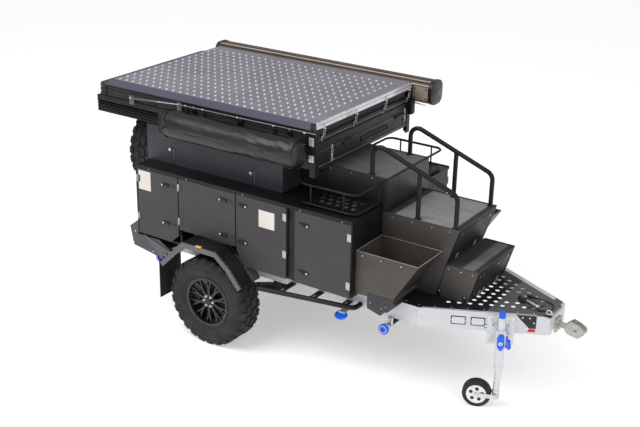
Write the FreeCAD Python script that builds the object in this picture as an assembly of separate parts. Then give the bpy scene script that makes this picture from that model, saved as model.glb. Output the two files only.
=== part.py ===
import FreeCAD, Part
import math
import os

# Off-road camper trailer: a box body with side doors on a galvanised A-frame, a hard-lid tent on top,
# steps up the front and a swing-up jockey stand. Millimetres, +X forward to the coupling, +Z up.
# Places along X are measured from the axle, and the finished pieces are moved so that the middle
# of the whole trailer stands at zero.

# Driving sizes of the whole trailer
body_half_width = 800.0
tyre_radius = 400.0
tyre_width = 270.0
wheel_stand_off = 5.0
wheel_middle_y = body_half_width + wheel_stand_off
guard_reach = 170.0
guard_outer_y = body_half_width + guard_reach
body_rear_x = -870.0
body_front_x = 1371.0
body_bottom_z = 780.0
ledge_top_z = 1437.0
tent_rear_x = -1345.0
coupling_tip_x = 3040.0
side_gap = 0.3
running_gap = 0.5
moving_gap = 6.0
overrun = 50.0

# Frame rails
rail_inset = 200.0
rail_outer_y = body_half_width - rail_inset
rail_wall_y = 50.0
rail_bottom_z = 620.0
rail_rear_x = -850.0
rail_front_x = 1880.0
cross_member_width = 60.0
cross_member_height = 100.0
cross_member_shares = (0.0, 0.22, 0.52, 0.72, 0.88, 1.0)

# Drawbar
drawbar_nose_x = 2710.0
drawbar_nose_half = 190.0
drawbar_tip_x = 2800.0
nose_block_length = 70.0
nose_block_height = 120.0
deck_sheet = 4.0
deck_front_x = 2775.0
deck_rear_x = 1486.0
deck_hole_radius = 19.0
deck_hole_pitch = 76.0
deck_hole_first_x = 2030.0
deck_hole_rows = 9

# Coupling
coupling_axis_z = 665.0
coupling_flange_thickness = 20.0
coupling_flange_height = 110.0
coupling_flange_width = 100.0
coupling_neck_radius = 24.0
coupling_neck_length = 60.0
coupling_head_width = 78.0
coupling_head_height = 96.0
coupling_head_drop = 18.0
coupling_edge = 5.0
coupling_slot_width = 44.0
coupling_pin_radius = 11.0

# Wheels
rim_seat_radius = 214.0
rim_flange_radius = 226.0
rim_flange_width = 9.0
rim_width = 226.0
rim_wall = 12.0
rim_hub_radius = 62.0
rim_hub_depth = 60.0
rim_hub_face_share = 0.78
spoke_count = 10
spoke_width = 20.0
spoke_depth = 22.0
spoke_split_radius = 112.0
spoke_crotch_radius = 136.0
spoke_arm_width = 13.0
spoke_arm_reach = 27.0
lug_count = 26
lug_height = 12.0
lug_length = 62.0
lug_root = 6.0
centre_lug_inner_y = 8.0
centre_lug_outer_y = 62.0
centre_lug_slant = 16.0
side_lug_inner_y = 76.0
side_lug_edge_y = 112.0
side_lug_low_radius = 352.0
side_lug_length = 56.0
cap_radius = 30.0
cap_height = 12.0
nut_count = 6
nut_circle_radius = 46.0
nut_radius = 8.0
nut_height = 10.0
tread_half_share = 0.40
shoulder_half_share = 0.47
shoulder_drop = 22.0
bulge_radius_share = 0.76

# Suspension
drum_radius = 150.0
drum_depth = 70.0
stub_radius = 32.0
arm_pivot_x = 520.0
arm_pivot_z = 560.0
arm_width = 70.0
arm_height = 60.0
arm_inset = 240.0
arm_middle_y = body_half_width - arm_inset
hanger_sheet = 8.0
hanger_radius = 38.0
spring_radius = 42.0
spring_x = 160.0
bellows_count = 3
bellows_depth = 12.0
damper_x = 60.0
damper_radius = 20.0

# Body panels and doors
panel = 20.0
door_thickness = 25.0
door_top_gap = 4.0
door_gap = 6.0
door_post_x = 787.0
door_post_width = 89.0
door_one_rear_x = -850.0
door_two_rear_x = -385.0
door_three_rear_x = 235.0
door_four_front_x = 1360.0
door_one_bottom_z = 800.0
door_two_bottom_z = 940.0
door_bottom_z = 784.0
door_one_chamfer_x = 88.0
door_one_chamfer_z = 77.0
door_three_chamfer_x = 77.0
door_three_chamfer_z = 135.0
knuckle_radius = 6.0
knuckle_length = 60.0
knuckle_drop_share = 0.17
hinge_leaf = 3.0
hinge_leaf_width = 30.0
latch_length = 70.0
latch_width = 30.0
latch_height = 4.0
latch_inset = 62.0
latch_button_radius = 9.0
latch_button_height = 6.0
ledge_lip_height = 8.0
ledge_lip_width = 8.0
arch_depth = 160.0
arch_inner_y = body_half_width - arch_depth

# Upper pod
pod_rear_x = -900.0
pod_front_x = 565.0
pod_inset = 200.0
pod_half_width = body_half_width - pod_inset
pod_height = 323.0
pod_top_z = ledge_top_z + pod_height

# Tent
tent_front_x = 972.0
tent_inset = 63.0
tent_half_width = body_half_width - tent_inset
tent_step_x = -636.0
tent_step_height = 70.0
tent_rear_bottom_z = pod_top_z + tent_step_height
tent_base_depth = 145.0
tent_base_top_z = tent_rear_bottom_z + tent_base_depth
tent_floor = 16.0
tent_wall = 18.0
groove_count = 4
groove_depth = 8.0
groove_height = 10.0
rib_front_x = -640.0
rib_top_drop = 50.0
rib_top_z = tent_base_top_z - rib_top_drop
corner_post_side = 46.0
corner_post_proud = 7.0
corner_post_sheet = 8.0
corner_post_drop = 60.0
corner_post_low_z = pod_top_z - corner_post_drop
front_bar_proud = 8.0
front_bar_middle_y = 157.0
front_bar_half = 218.0
front_bar_drop = 153.0
front_bar_low_z = tent_base_top_z - front_bar_drop
front_bar_height = 38.0
front_hook_places_y = (-280.0, 560.0)
front_hook_drop = 92.0
front_hook_z = tent_base_top_z - front_hook_drop
front_hook_width = 150.0
front_hook_depth = 22.0
lid_leaf = 6.0
lid_leaf_width = 30.0
canvas_show_height = 109.0
lid_bottom_z = tent_base_top_z + canvas_show_height
lid_depth = 65.0
lid_top_z = lid_bottom_z + lid_depth
lid_sheet = 12.0
lid_slope = 20.0
lid_rear_x = -1238.0
lid_rear_slope = 95.0
lid_hinge_radius = 9.0
lid_rail_width = 34.0
lid_rail_drop = 48.0

# Soft bag on the near side and awning on the far side
bag_rear_x = -430.0
bag_front_x = 920.0
bag_width = 228.0
bag_height = 256.0
bag_drop = 57.0
bag_middle_z = tent_base_top_z - bag_drop
awning_rear_x = -1220.0
awning_front_x = 1170.0
awning_width = 200.0
awning_height = 206.0
awning_rise = 17.0
awning_top_z = lid_top_z + awning_rise
awning_round = 70.0
awning_cap = 34.0
awning_cap_proud = 4.0
bracket_length = 90.0
bracket_height = 96.0
bracket_shares = (0.12, 0.5, 0.84)

# Steps
step_half_width = 335.0
step_sheet = 8.0
upper_step_rear_x = 572.0
upper_step_front_x = 1410.0
upper_step_rise = 223.0
upper_step_top_z = ledge_top_z + upper_step_rise
middle_step_front_x = 2060.0
middle_step_foot_x = 1960.0
middle_step_top_z = 1378.0
lower_step_front_x = 2250.0
lower_step_foot_x = 2168.0
lower_step_top_z = 1066.0
lower_step_rear_top_x = 1966.0
lower_step_rear_foot_x = 1900.0
tread_lip_height = 7.0
tread_lip_width = 9.0
flap_sheet = 6.0
flap_pin_radius = 6.0
flap_side_gap = 14.0

# Handrails
rail_tube_radius = 19.0
rail_bend_radius = 75.0
handrail_inset = 30.0
handrail_y = step_half_width - handrail_inset
handrail_rear_x = 1240.0
handrail_mid_x = 1675.0
handrail_front_x = 2015.0
handrail_high_rise = 280.0
handrail_high_z = upper_step_top_z + handrail_high_rise
handrail_low_rise = 272.0
handrail_low_z = middle_step_top_z + handrail_low_rise

# Ledge baskets
basket_tube_radius = 10.0
basket_rear_x = 800.0
basket_front_x = 1345.0
basket_inset = 90.0
basket_outer_y = body_half_width - basket_inset
basket_step_gap = 10.5
basket_inner_y = step_half_width + basket_step_gap
basket_low_rise = 23.0
basket_low_z = ledge_top_z + basket_low_rise
basket_top_rise = 185.0
basket_top_z = ledge_top_z + basket_top_rise
basket_corner_radius = 70.0
basket_post_shares = (0.22, 0.79)
basket_floor_sheet = 4.0
basket_post_radius = 7.0
basket_hole_radius = 24.0
basket_hole_pitch = 74.0
basket_hole_reach = (3, 1)

# Open bins ahead of the body
bin_inset = 70.0
bin_outer_y = body_half_width - bin_inset
bin_step_gap = 8.0
bin_inner_y = step_half_width + bin_step_gap
bin_sheet = 6.0
bin_front_x = 1932.0
bin_foot_x = 1723.0
bin_top_z = 1180.0
bin_bottom_z = 812.0
bin_low_z = 850.0
skirt_rear_x = 1486.0
skirt_front_x = 1765.0
skirt_bottom_z = 722.0

# Mudguards and flaps
guard_top_z = 920.0
guard_rear_x = -476.0
guard_rear_z = 670.0
guard_crown_rear_x = -224.0
guard_crown_front_x = 141.0
guard_knee_x = 280.0
guard_knee_z = 810.0
guard_front_x = 406.0
guard_front_z = 660.0
guard_sheet = 6.0
guard_lip_depth = 44.0
guard_lip_width = 12.0
flap_inset = 110.0
flap_inner_y = body_half_width - flap_inset
flap_low_z = 330.0
flap_rubber = 8.0
flap_head = 20.0
marker_length = 62.0
marker_width = 24.0
marker_height = 8.0

# Side sliders
slider_radius = 21.0
slider_z = 650.0
slider_front_x = 1350.0
slider_rear_x = 495.0
slider_front_inset = 110.0
slider_front_y = body_half_width - slider_front_inset
slider_rear_reach = 50.0
slider_rear_y = body_half_width + slider_rear_reach
slider_tail_inset = 19.0
slider_tail_y = body_half_width - slider_tail_inset
slider_tail_x = 460.0
slider_strap_width = 60.0
slider_strap_sheet = 6.0
slider_strap_shares = (0.12, 0.45, 0.78)

# Rear bumper
bumper_rear_x = -967.0
bumper_top_x = -864.0
bumper_top_z = 919.0
bumper_waist_z = 838.0
bumper_foot_x = -930.0
bumper_foot_z = 663.0
bumper_low_x = -616.0
bumper_low_z = 611.0
bumper_front_x = -500.0
bumper_front_z = 706.0
bumper_plate = 8.0
bumper_face = 8.0
bumper_return = 60.0
bumper_return_fall = 10.0
gusset_top_x = -803.0
gusset_top_z = door_one_bottom_z - moving_gap
gusset_foot_x = -604.0
gusset_foot_z = 617.0
gusset_front_x = -502.0
gusset_front_z = 703.0
gusset_sheet = 5.0
shackle_pin_radius = 9.0
shackle_bow_radius = 30.0
shackle_bow_tube = 8.0
shackle_x = -1010.0
shackle_inset = 100.0
shackle_y = body_half_width - shackle_inset
shackle_z = 700.0
shackle_tab = 18.0
shackle_tab_half = 34.0
lamp_length = 200.0
lamp_height = 70.0
lamp_depth = 24.0
lamp_inset = 240.0
lamp_y = body_half_width - lamp_inset
lamp_z = 760.0

# Stabiliser legs, stowed flat under the frame
leg_radius = 19.0
leg_z = 560.0
leg_inset = 100.0
leg_outer_y = body_half_width - leg_inset
leg_inner_y = 250.0
leg_front_x = 1640.0
leg_rear_x = -700.0
leg_bracket_sheet = 8.0
foot_radius = 44.0
foot_height = 20.0
foot_hole_radius = 26.0

# Spare wheel
spare_y = -120.0
spare_drop = 32.0
spare_z = ledge_top_z - spare_drop
spare_hub_x = -1113.0
carrier_width = 150.0
carrier_sheet = 10.0
carrier_tube = 50.0
carrier_stub = 60.0

# Jockey stand, in the frame of the near drawbar rail
jockey_x = 2510.0
jockey_offset = 105.0
jockey_pivot_z = 640.0
clamp_half_length = 105.0
clamp_top_z = 762.0
clamp_bottom_z = 516.0
clamp_plate = 8.0
clamp_boss_radius = 55.0
swivel_plate = 12.0
swivel_plate_radius = 70.0
sleeve_half = 38.0
sleeve_height = 110.0
stem_radius = 28.0
stem_top_z = 800.0
stem_low_z = 350.0
inner_stem_radius = 22.0
inner_stem_low_z = 132.0
fork_collar_radius = 26.0
fork_collar_height = 50.0
jockey_wheel_radius = 115.0
jockey_wheel_width = 72.0
jockey_rim_radius = 78.0
jockey_trail = 150.0
jockey_turn = -160.0
fork_sheet = 6.0
fork_height = 34.0
jockey_pin_radius = 8.0
handle_radius = 22.0
handle_height = 50.0
handle_arm = 95.0
handle_arm_width = 26.0
handle_arm_sheet = 16.0
latch_lever_length = 95.0
latch_lever_width = 26.0

# Lead to the towing vehicle
lead_radius = 6.0
gland_radius = 13.0
gland_length = 34.0
plug_radius = 22.0
plug_length = 64.0

middle_x = (tent_rear_x + coupling_tip_x) / 2.0


def box(x0, x1, y0, y1, z0, z1):
    return Part.makeBox(x1 - x0, y1 - y0, z1 - z0, FreeCAD.Vector(x0, y0, z0))


def prism(points, axis, start, end):
    """Close a flat outline of (a, b) points and push it along the axis named by axis."""
    places = {
        "x": lambda a, b: FreeCAD.Vector(start, a, b),
        "y": lambda a, b: FreeCAD.Vector(a, start, b),
        "z": lambda a, b: FreeCAD.Vector(a, b, start),
    }
    along = {"x": (1, 0, 0), "y": (0, 1, 0), "z": (0, 0, 1)}[axis]
    corners = [places[axis](a, b) for a, b in points]
    face = Part.Face(Part.makePolygon(corners + corners[:1]))
    return face.extrude(FreeCAD.Vector(*along) * (end - start))


def band(points, depth):
    """Outline of a sheet that follows points, with its thickness on the right-hand side."""
    inner = []
    last = len(points) - 1
    for i, (x, z) in enumerate(points):
        normals = []
        for a, b in ((i - 1, i), (i, i + 1)):
            if a >= 0 and b <= last:
                dx, dz = points[b][0] - points[a][0], points[b][1] - points[a][1]
                length = math.hypot(dx, dz)
                normals.append((dz / length, -dx / length))
        nx = sum(n[0] for n in normals) / len(normals)
        nz = sum(n[1] for n in normals) / len(normals)
        stretch = depth / (nx * nx + nz * nz)
        inner.append((x + nx * stretch, z + nz * stretch))
    return points + inner[::-1]


def cylinder(start, along, radius, length):
    return Part.makeCylinder(radius, length, FreeCAD.Vector(*start), FreeCAD.Vector(*along))


def rod(start, end, radius):
    run = FreeCAD.Vector(*end) - FreeCAD.Vector(*start)
    return Part.makeCylinder(radius, run.Length, FreeCAD.Vector(*start), run)


def fuse(pieces):
    whole = pieces[0]
    if len(pieces) > 1:
        whole = whole.multiFuse(pieces[1:])
    return whole.removeSplitter()


def both_sides(shape):
    """The piece and its mirror image on the other side of the trailer, as separate solids."""
    other = shape.mirror(FreeCAD.Vector(0, 0, 0), FreeCAD.Vector(0, 1, 0))
    return Part.makeCompound([shape, other])


def mirrored(shape):
    return shape.mirror(FreeCAD.Vector(0, 0, 0), FreeCAD.Vector(0, 1, 0))


def bent_path(points, radii):
    """Straight runs joined by tangent arcs, and the wire and its first direction."""
    corners = [FreeCAD.Vector(*p) for p in points]
    edges = []
    start = corners[0]
    for i in range(1, len(corners) - 1):
        into = (corners[i] - corners[i - 1]).normalize()
        out = (corners[i + 1] - corners[i]).normalize()
        turn = into.getAngle(out)
        cut = radii[i - 1] * math.tan(turn / 2)
        first = corners[i] - into * cut
        last = corners[i] + out * cut
        inward = (out - into).normalize()
        middle = corners[i] + inward * (radii[i - 1] / math.cos(turn / 2) - radii[i - 1])
        edges.append(Part.LineSegment(start, first).toShape())
        edges.append(Part.Arc(first, middle, last).toShape())
        start = last
    edges.append(Part.LineSegment(start, corners[-1]).toShape())
    return Part.Wire(edges), (corners[1] - corners[0])


def bent_tube(points, radius, bends):
    path, heading = bent_path(points, bends)
    ring = Part.Wire(Part.makeCircle(radius, FreeCAD.Vector(*points[0]), heading))
    return path.makePipeShell([ring], True, True)


def cord_bends(points, most=0.45):
    """Each arc of a cord is as large as its two runs allow."""
    corners = [FreeCAD.Vector(*p) for p in points]
    radii = []
    for i in range(1, len(corners) - 1):
        into, out = corners[i] - corners[i - 1], corners[i + 1] - corners[i]
        turn = into.getAngle(out)
        radii.append(most * min(into.Length, out.Length) / math.tan(turn / 2))
    return radii


# Frame and drawbar

drawbar_slope = (rail_outer_y - drawbar_nose_half) / (drawbar_nose_x - rail_front_x)
drawbar_turn = math.atan(drawbar_slope)


def drawbar_outer(x):
    return drawbar_nose_half + drawbar_slope * (drawbar_nose_x - x)


def main_rails():
    rail = box(rail_rear_x, rail_front_x, rail_outer_y - rail_wall_y, rail_outer_y,
               rail_bottom_z, body_bottom_z)
    return both_sides(rail)


def cross_members():
    reach = rail_outer_y - rail_wall_y
    span = rail_front_x - rail_rear_x - cross_member_width
    bars = []
    for share in cross_member_shares:
        x = rail_rear_x + share * span
        bars.append(box(x, x + cross_member_width, -reach, reach,
                        body_bottom_z - cross_member_height, body_bottom_z))
    return Part.makeCompound(bars)


def drawbar_rails():
    inset = rail_wall_y / math.cos(drawbar_turn)
    outline = [
        (rail_front_x, drawbar_outer(rail_front_x)),
        (drawbar_tip_x, drawbar_outer(drawbar_tip_x)),
        (drawbar_tip_x, drawbar_outer(drawbar_tip_x) - inset),
        (rail_front_x, drawbar_outer(rail_front_x) - inset),
    ]
    rail = prism(outline, "z", rail_bottom_z, body_bottom_z)
    nose_half = drawbar_outer(drawbar_tip_x)
    middle_z = (rail_bottom_z + body_bottom_z) / 2
    nose = box(drawbar_tip_x - nose_block_length, drawbar_tip_x, -nose_half, nose_half,
               middle_z - nose_block_height / 2, middle_z + nose_block_height / 2)
    return fuse([rail, mirrored(rail), nose])


def drawbar_deck():
    reach = min(drawbar_outer(deck_rear_x), rail_outer_y)
    half = [
        (deck_rear_x, reach),
        (rail_front_x, rail_outer_y),
        (deck_front_x, drawbar_outer(deck_front_x)),
    ]
    outline = half + [(x, -y) for x, y in half[::-1]]
    plate = prism(outline, "z", body_bottom_z, body_bottom_z + deck_sheet)
    holes = []
    for i in range(deck_hole_rows):
        x = deck_hole_first_x + i * deck_hole_pitch
        room = drawbar_outer(x) - rail_wall_y - 2 * deck_hole_radius
        shift = deck_hole_pitch / 2 * (i % 2)
        for j in range(int((room - shift) / deck_hole_pitch) + 1):
            y = shift + j * deck_hole_pitch
            under_step = x < lower_step_foot_x and y < step_half_width
            at_gland = x > lead_points[0][0] - 2 * deck_hole_pitch and y < deck_hole_pitch
            if under_step or at_gland:
                continue
            for side in {y, -y}:
                holes.append(cylinder((x, side, body_bottom_z - overrun), (0, 0, 1),
                                      deck_hole_radius, 2 * overrun))
    return plate.cut(holes)


def coupling():
    z = coupling_axis_z
    flange = box(drawbar_tip_x, drawbar_tip_x + coupling_flange_thickness,
                 -coupling_flange_width / 2, coupling_flange_width / 2,
                 z - coupling_flange_height / 2, z + coupling_flange_height / 2)
    neck_x = drawbar_tip_x + coupling_flange_thickness
    neck = cylinder((neck_x, 0, z), (1, 0, 0), coupling_neck_radius, coupling_neck_length)
    head_x = neck_x + coupling_neck_length
    half = coupling_head_height / 2
    drop = coupling_head_drop
    head = prism([(head_x, z - half / 2), (head_x + half / 2, z - half), (coupling_tip_x - half,
                  z - half - drop), (coupling_tip_x, z - drop), (coupling_tip_x, z + drop),
                  (coupling_tip_x - half, z + half), (head_x + half, z + half + drop),
                  (head_x, z + half / 2)],
                 "y", -coupling_head_width / 2, coupling_head_width / 2)
    head = head.makeChamfer(coupling_edge, [e for e in head.Edges if e.BoundBox.YLength < side_gap])
    slot_start = head_x + coupling_slot_width / 2
    slot = box(slot_start, coupling_tip_x + overrun, -coupling_slot_width / 2,
               coupling_slot_width / 2, z - coupling_head_height, z + coupling_head_height)
    pin_x = (slot_start + coupling_tip_x) / 2
    pin_hole = cylinder((pin_x, -coupling_head_width, z), (0, 1, 0), coupling_pin_radius,
                        coupling_head_width * 2)
    return fuse([flange, neck, head]).cut(slot).cut(pin_hole)


# Wheels, made round the Y axis at zero with their outer face towards +Y

def turned(outline):
    """Turn an outline of (y, radius) points once round the Y axis."""
    corners = [FreeCAD.Vector(r, y, 0) for y, r in outline]
    face = Part.Face(Part.makePolygon(corners + corners[:1]))
    return face.revolve(FreeCAD.Vector(0, 0, 0), FreeCAD.Vector(0, 1, 0), 360)


def tyre():
    bore = rim_seat_radius + side_gap
    bead = rim_width / 2 - rim_flange_width - side_gap
    bead_top = rim_flange_radius + side_gap
    crown_radius = tyre_radius - lug_height
    bulge = tyre_width / 2
    bulge_radius = tyre_radius * bulge_radius_share
    shoulder = tyre_width * shoulder_half_share
    tread = tyre_width * tread_half_share
    shoulder_radius = crown_radius - shoulder_drop

    def wall(side):
        return Part.Arc(FreeCAD.Vector(bead_top, side * bead, 0),
                        FreeCAD.Vector(bulge_radius, side * bulge, 0),
                        FreeCAD.Vector(shoulder_radius, side * shoulder, 0)).toShape()

    crown = Part.makePolygon([
        FreeCAD.Vector(shoulder_radius, shoulder, 0), FreeCAD.Vector(crown_radius, tread, 0),
        FreeCAD.Vector(crown_radius, -tread, 0), FreeCAD.Vector(shoulder_radius, -shoulder, 0)])
    bore_line = Part.makePolygon([
        FreeCAD.Vector(bead_top, -bead, 0), FreeCAD.Vector(bore, -bead, 0),
        FreeCAD.Vector(bore, bead, 0), FreeCAD.Vector(bead_top, bead, 0)])
    loop = Part.Wire(Part.__sortEdges__([wall(1), wall(-1)] + crown.Edges + bore_line.Edges))
    carcass = Part.Face(loop).revolve(FreeCAD.Vector(0, 0, 0), FreeCAD.Vector(0, 1, 0), 360)
    return carcass.multiFuse(lugs(crown_radius - lug_root, shoulder_radius, shoulder))


def lugs(root_radius, shoulder_radius, shoulder):
    """Two staggered middle rows of slanted blocks and a row of side blocks on each shoulder."""
    half = lug_length / 2
    top = math.sqrt(tyre_radius ** 2 - (half + centre_lug_slant) ** 2)
    middle = prism([(centre_lug_inner_y, -half), (centre_lug_outer_y, -half + centre_lug_slant),
                    (centre_lug_outer_y, half + centre_lug_slant), (centre_lug_inner_y, half)],
                   "x", root_radius, top)
    side_half = side_lug_length / 2
    side_top = math.sqrt(tyre_radius ** 2 - side_half ** 2)
    side = prism([(root_radius, side_lug_inner_y), (side_top, side_lug_inner_y),
                  (side_top, side_lug_edge_y), (shoulder_radius + lug_root, tyre_width / 2 - lug_root),
                  (side_lug_low_radius, tyre_width / 2), (side_lug_low_radius, shoulder - lug_height),
                  (root_radius - shoulder_drop, shoulder - lug_height)],
                 "z", -side_half, side_half)
    blocks = []
    pitch = 360.0 / lug_count
    for shape, shift in ((middle, 0), (mirrored(middle), pitch / 2), (side, pitch / 4),
                         (mirrored(side), -pitch / 4)):
        for i in range(lug_count):
            block = shape.copy()
            block.rotate(FreeCAD.Vector(0, 0, 0), FreeCAD.Vector(0, 1, 0), i * pitch + shift)
            blocks.append(block)
    return blocks


def rim():
    half = rim_width / 2
    seat = half - rim_flange_width
    inner = rim_seat_radius - rim_wall
    barrel = turned([(-half, inner), (-half, rim_flange_radius), (-seat, rim_flange_radius),
                     (-seat, rim_seat_radius), (seat, rim_seat_radius),
                     (seat, rim_flange_radius), (half, rim_flange_radius), (half, inner)])
    face_y = half * rim_hub_face_share
    hub = cylinder((0, face_y - rim_hub_depth, 0), (0, 1, 0), rim_hub_radius, rim_hub_depth)
    cap = cylinder((0, face_y, 0), (0, 1, 0), cap_radius, cap_height)
    pieces = [barrel, hub, cap]
    middle = FreeCAD.Vector(0, 0, 0)
    turn_axis = FreeCAD.Vector(0, 1, 0)
    half_width, half_arm = spoke_width / 2, spoke_arm_width / 2
    rim_end = inner + rim_wall / 2
    right_half = [(half_width, 0), (half_width, spoke_split_radius),
                  (spoke_arm_reach + half_arm, rim_end), (spoke_arm_reach - half_arm, rim_end)]
    outline = right_half + [(0, spoke_crotch_radius)] + [(-x, z) for x, z in right_half[::-1]]
    for i in range(spoke_count):
        spoke = prism(outline, "y", face_y - spoke_depth, face_y)
        spoke.rotate(middle, turn_axis, 360.0 * i / spoke_count)
        pieces.append(spoke)
    for i in range(nut_count):
        turn = 2 * math.pi * i / nut_count
        pieces.append(cylinder((nut_circle_radius * math.cos(turn), face_y,
                                nut_circle_radius * math.sin(turn)), (0, 1, 0),
                               nut_radius, nut_height))
    return fuse(pieces)


def on_left(shape):
    shape.translate(FreeCAD.Vector(0, wheel_middle_y, tyre_radius))
    return shape


def spare_place(shape):
    """Outer face to the rear, hub face at the carrier."""
    shape.rotate(FreeCAD.Vector(0, 0, 0), FreeCAD.Vector(0, 0, 1), 90)
    hub_back = rim_width / 2 * rim_hub_face_share - rim_hub_depth
    shape.translate(FreeCAD.Vector(spare_hub_x + hub_back, spare_y, spare_z))
    return shape


# Suspension

def arm_top(x):
    half = arm_height / 2
    slope = (arm_pivot_z - tyre_radius) / (arm_pivot_x + half)
    return tyre_radius + half + (x + half) * slope


def suspension_arms():
    hub_back_y = wheel_middle_y + rim_width / 2 * rim_hub_face_share - rim_hub_depth - running_gap
    drum = cylinder((0, hub_back_y - drum_depth, tyre_radius), (0, 1, 0), drum_radius, drum_depth)
    arm_in = arm_middle_y - arm_width / 2
    stub = cylinder((0, arm_in, tyre_radius), (0, 1, 0), stub_radius,
                    hub_back_y - drum_depth - arm_in)
    rise = arm_pivot_z - tyre_radius
    half = arm_height / 2
    arm = prism([(-half, tyre_radius - half), (arm_pivot_x, tyre_radius - half + rise),
                 (arm_pivot_x, tyre_radius + half + rise), (-half, tyre_radius + half)],
                "y", arm_in, arm_in + arm_width)
    tube = cylinder((arm_pivot_x, arm_in, arm_pivot_z), (0, 1, 0), hanger_radius, arm_width)
    seat_low = arm_top(spring_x) - half
    seat = cylinder((spring_x, arm_in + arm_width - spring_radius, seat_low), (0, 0, 1),
                    spring_radius - bellows_depth, arm_top(spring_x + spring_radius) - seat_low)
    return both_sides(fuse([drum, stub, arm, tube, seat]))


def suspension_hangers():
    sides = []
    arm_in = arm_middle_y - arm_width / 2
    for y in (arm_in - running_gap - hanger_sheet, arm_in + arm_width + running_gap):
        sides.append(box(arm_pivot_x - hanger_radius, arm_pivot_x + hanger_radius, y,
                         y + hanger_sheet, arm_pivot_z - hanger_radius, rail_bottom_z))
    bridge = box(arm_pivot_x - hanger_radius, arm_pivot_x + hanger_radius,
                 arm_in - running_gap - hanger_sheet, arm_in + arm_width + running_gap + hanger_sheet,
                 rail_bottom_z - hanger_sheet, rail_bottom_z)
    return both_sides(fuse(sides + [bridge]))


def suspension_springs():
    floor_z = arm_top(spring_x + spring_radius) + side_gap
    y = arm_middle_y + arm_width / 2 - spring_radius
    height = rail_bottom_z - floor_z
    waist = spring_radius - bellows_depth
    pitch = height / (2 * bellows_count)
    outline = [(floor_z, 0), (floor_z, waist)]
    for i in range(bellows_count):
        low = floor_z + 2 * i * pitch
        outline += [(low + pitch / 2, spring_radius), (low + pitch * 3 / 2, spring_radius),
                    (low + 2 * pitch, waist)]
    outline += [(rail_bottom_z, 0)]
    corners = [FreeCAD.Vector(radius, 0, z) for z, radius in outline]
    face = Part.Face(Part.makePolygon(corners + corners[:1]))
    spring = face.revolve(FreeCAD.Vector(0, 0, 0), FreeCAD.Vector(0, 0, 1), 360)
    spring.translate(FreeCAD.Vector(spring_x, y, 0))
    low = arm_top(damper_x + damper_radius) + side_gap
    middle = (low + rail_bottom_z) / 2
    damper = cylinder((damper_x, y, low), (0, 0, 1), damper_radius, middle - low)
    rod_end = cylinder((damper_x, y, middle), (0, 0, 1), damper_radius / 2, rail_bottom_z - middle)
    pairs = both_sides(spring).Solids + both_sides(fuse([damper, rod_end])).Solids
    return Part.makeCompound(pairs)


# Body

guard_line = [(guard_rear_x, guard_rear_z), (guard_crown_rear_x, guard_top_z),
              (guard_crown_front_x, guard_top_z), (guard_knee_x, guard_knee_z),
              (guard_front_x, guard_front_z)]


def where_guard_meets(z, a, b):
    share = (z - a[1]) / (b[1] - a[1])
    return a[0] + share * (b[0] - a[0])


arch_rear_x = where_guard_meets(body_bottom_z, guard_line[0], guard_line[1])
arch_front_x = where_guard_meets(body_bottom_z, guard_line[3], guard_line[4])
door_face_y = body_half_width - door_thickness
inside_y = door_face_y - side_gap


def body_floor():
    plate = box(body_rear_x, body_front_x, -inside_y, inside_y, body_bottom_z,
                body_bottom_z + panel)
    outer_line = band(guard_line, -guard_sheet)[len(guard_line):]
    hump = prism(outer_line, "y", arch_inner_y - panel, inside_y)
    below = box(body_rear_x, body_front_x, 0, body_half_width, 0, body_bottom_z)
    hump = hump.cut(below)
    hollow = prism(guard_line, "y", arch_inner_y, body_half_width + overrun)
    whole = plate.fuse([hump, mirrored(hump)])
    return whole.cut(hollow).cut(mirrored(hollow)).removeSplitter()


def body_roof():
    plate = box(body_rear_x, body_front_x, -body_half_width, body_half_width,
                ledge_top_z - panel, ledge_top_z)
    lip = box(body_rear_x, body_front_x, body_half_width - ledge_lip_width, body_half_width,
              ledge_top_z, ledge_top_z + ledge_lip_height)
    return fuse([plate, lip, mirrored(lip)])


def body_walls():
    """Rear wall, three partitions and front wall, each with its ends behind the doors."""
    low, high = body_bottom_z + panel, ledge_top_z - panel
    middle_12 = (door_two_rear_x + door_one_front_x) / 2
    middle_23 = (door_three_rear_x + door_two_front_x) / 2
    walls = [box(body_rear_x, body_rear_x + panel, -body_half_width, body_half_width, low, high)]
    arch = prism([(arch_rear_x - overrun, body_bottom_z)]
                 + [(x, z + guard_sheet * 2) for x, z in guard_line[1:4]]
                 + [(arch_front_x + overrun, body_bottom_z)],
                 "y", arch_inner_y - panel - running_gap, body_half_width + overrun)
    for x in (middle_12, middle_23, door_post_x):
        width = panel if x != door_post_x else door_post_width - door_gap
        wall = box(x - width / 2, x + width / 2, -inside_y, inside_y, low, high)
        walls.append(wall.cut(arch).cut(mirrored(arch)))
    walls.append(box(body_front_x - panel, body_front_x, -inside_y, inside_y, low, high))
    return Part.makeCompound(walls)


door_one_front_x = door_two_rear_x - 2 * door_gap
door_two_front_x = door_three_rear_x - 2 * door_gap
door_three_front_x = door_post_x - door_post_width / 2
door_four_rear_x = door_post_x + door_post_width / 2
door_top_z = ledge_top_z - panel - door_top_gap


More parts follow.
